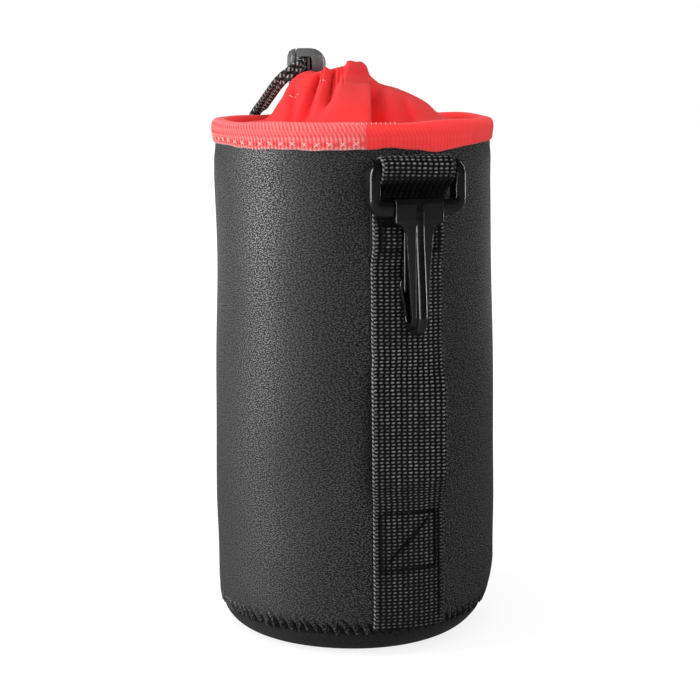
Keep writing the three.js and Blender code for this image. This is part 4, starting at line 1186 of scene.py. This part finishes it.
# The lock's mouth, a thin collar that the button sinks into, by places along the lock and half heights.
MOUTH_SECTION = [(-2.7, 4.75), (-4.3, 4.75), (-4.4, 4.85), (-4.3, 5.0), (-2.7, 5.46)]
MOUTH_SIDES = 72
MOUTH_ROW = 1.2
MOUTH_GIRTH = 32.0
LOCK_MIDDLE = (-17.2, 15.5, 197.8)
LOCK_FLAT = 0.75
mouth_turn = full_turn(MOUTH_SIDES)
mouth_rings = []
for along_lock, reach in MOUTH_SECTION:
    deep, tall = reach * LOCK_FLAT * np.cos(mouth_turn), reach * np.sin(mouth_turn)
    mouth_rings.append(np.stack([np.full(MOUTH_SIDES, along_lock), deep, tall], 1) + LOCK_MIDDLE)
mouth_uv = ring_uv(np.arange(len(MOUTH_SECTION) + 1) * MOUTH_ROW, MOUTH_SIDES, MOUTH_GIRTH)
glossy_pieces.append(add_grid("lock_mouth", from_mouth(mouth_rings), mouth_uv, "lock_plastic",
                              PLASTICS["lock_plastic"], wrap_rows=True))

# A soft web across the back of the lock's hole, which grips the two cords.
GRIP_MIDDLE = (-16.3, 18.75, 197.8)
GRIP_HALF = (2.35, 2.8)
GRIP_DEEP = 0.22
GRIP_EDGE = 0.25
GRIP_ROUND = 0.6
GRIP_SIDES = 48
GRIP_GIRTH = 16.0
grip_turn = full_turn(GRIP_SIDES)
grip_rings = []
for depth, inset in ((-GRIP_DEEP, GRIP_EDGE), (-GRIP_DEEP, 0), (GRIP_DEEP, 0), (GRIP_DEEP, GRIP_EDGE)):
    wide = fuller(np.cos(grip_turn), GRIP_ROUND) * (GRIP_HALF[0] - inset)
    tall = fuller(np.sin(grip_turn), GRIP_ROUND) * (GRIP_HALF[1] - inset)
    grip_rings.append(np.stack([wide, np.full(GRIP_SIDES, depth), tall], 1) + GRIP_MIDDLE)
grip_uv = ring_uv(np.arange(len(grip_rings)) * GRIP_DEEP, GRIP_SIDES, GRIP_GIRTH)
rubber = plastic_finish("lock_rubber", (0.006, 0.006, 0.006), 0.6, 0.02)
add_grid("lock_web", from_mouth(grip_rings), grip_uv, "lock_plastic", rubber, caps=True)

# The steel spring between the button's toe and the lock's closed end.
SPRING_ENDS = (2.4, 6.2)
spring_mesh = frame["nodes"]["cord_lock_spring"].data.copy()
spring_mesh.materials.clear()
spring_mesh.materials.append(steel_finish())
spring = add_object("lock_spring", spring_mesh)
spring_toe, spring_end = [from_mouth(np.add(LOCK_MIDDLE, (end, 0, 0))) * MM for end in SPRING_ENDS]
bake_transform(spring)
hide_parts("cord_lock_spring")

# The studio: a pale floor, a white surround, a soft key from the left and weak fills.
FLOOR_RADIUS = 3
FLOOR_SIDES = 96
floor_mesh = bpy.data.meshes.new("floor")
floor_ring = around_axis(FLOOR_RADIUS, 0, full_turn(FLOOR_SIDES)).tolist()
floor_mesh.from_pydata(floor_ring, [], [list(range(FLOOR_SIDES))])
floor = add_object("floor", floor_mesh)


def from_light_path(tree, *kinds):
    """1 for the named kinds of ray, 0 for others."""
    seen = field(tree, "LightPath", {}, kinds[0])
    for kind in kinds[1:]:
        seen = seen.math("MAXIMUM", field(tree, "LightPath", {}, kind))
    return seen


def from_place(tree, output, operation):
    """How far a place or direction lies from the middle, or to the side away from the camera."""
    away = (-math.sin(VIEW_ANGLE), math.cos(VIEW_ANGLE), 0)
    values = {0: field(tree, "TexCoord", {}, output), 1: away}
    return field(tree, "VectorMath", values, "Value", operation=operation)


FLOOR_GLOW = 0.80
FLOOR_PALE = 0.26
FLOOR_TONE = 0.2
floor_look = bpy.data.materials.new("floor")
floor_look.use_nodes = True
tree = floor_look.node_tree
tree.nodes.clear()
target = tree.nodes.new("ShaderNodeOutputMaterial")
plain, soft = (field(tree, "BsdfDiffuse", {"Color": (tone, tone, tone, 1)})
               for tone in (FLOOR_TONE, FLOOR_PALE))
# The floor's glow is weaker near the pouch, a painted darkening round it, and rises to full white farther
# out.
brighter = from_place(tree, "Object", "LENGTH").rise(0.10, 0.55)
glow = field(tree, "Emission", {"Strength": brighter * (1 - FLOOR_GLOW) + FLOOR_GLOW})
both = field(tree, "AddShader", {0: soft, 1: glow})
shown = from_light_path(tree, "Is Camera Ray", "Is Transmission Ray")
behind = from_place(tree, "Object", "DOT_PRODUCT").rise(0.3, 0.9)
mirrored = from_light_path(tree, "Is Glossy Ray") * behind
choose = field(tree, "MixShader", {0: shown.math("MAXIMUM", mirrored), 1: plain, 2: both})
put(tree, target.inputs[0], choose)
floor_mesh.materials.append(floor_look)

WORLD_FILL = 0.74
WORLD_FRONT = 0.04
world = bpy.data.worlds.new("studio")
bpy.context.scene.world = world
world.use_nodes = True
tree = world.node_tree
surround = tree.nodes["Background"]
surround.inputs["Color"].default_value = (1, 1, 1, 1)
shown = from_light_path(tree, "Is Camera Ray", "Is Transmission Ray")
mirror = from_light_path(tree, "Is Glossy Ray")
behind = from_place(tree, "Generated", "DOT_PRODUCT").rise(0.95, 0.995)
in_gloss = behind * (1 - WORLD_FRONT) + WORLD_FRONT
as_fill = mirror * (in_gloss - WORLD_FILL) + WORLD_FILL
put(tree, surround.inputs["Strength"], shown * (as_fill * -1.0 + 1.0) + as_fill)

# Lamps: degrees to the camera's right, degrees up, distance, width, height and power.
LAMPS = {"key": (-80, 14, 0.8, 0.40, 0.75, 8.2), "fill": (24, 12, 1.3, 0.9, 0.6, 8.0),
         "top": (-30, 72, 0.9, 0.5, 0.5, 0.9), "edge": (104, 12, 0.9, 0.05, 0.7, 0.15),
         "left_strip": (-52, 10, 0.9, 0.10, 0.8, 3.0), "right_strip": (118, 10, 0.9, 0.12, 0.8, 3.6)}
LAMP_AIM = Vector((0, 0, 0.1))
lit_by_strips = bpy.data.collections.new("glossy_pieces")
for piece in glossy_pieces:
    lit_by_strips.objects.link(piece)
NOT_MIRRORED = ("fill", "top")
for lamp_name, (to_right, height, distance, width, tall, power) in LAMPS.items():
    lamp = bpy.data.lights.new(lamp_name, "AREA")
    lamp.shape = "RECTANGLE"
    lamp.size, lamp.size_y = width, tall
    lamp.energy = power
    turn = view_turn + math.radians(to_right)
    lift = math.radians(height)
    away = Vector((math.cos(turn) * math.cos(lift), math.sin(turn) * math.cos(lift), math.sin(lift)))
    holder = add_object(lamp_name, lamp)
    holder.visible_glossy = lamp_name not in NOT_MIRRORED
    if lamp_name.endswith("strip"):
        holder.light_linking.receiver_collection = lit_by_strips
    holder.location = LAMP_AIM + away * distance
    holder.rotation_euler = away.to_track_quat("Z", "Y").to_euler()

bpy.context.scene.view_settings.view_transform = "Standard"
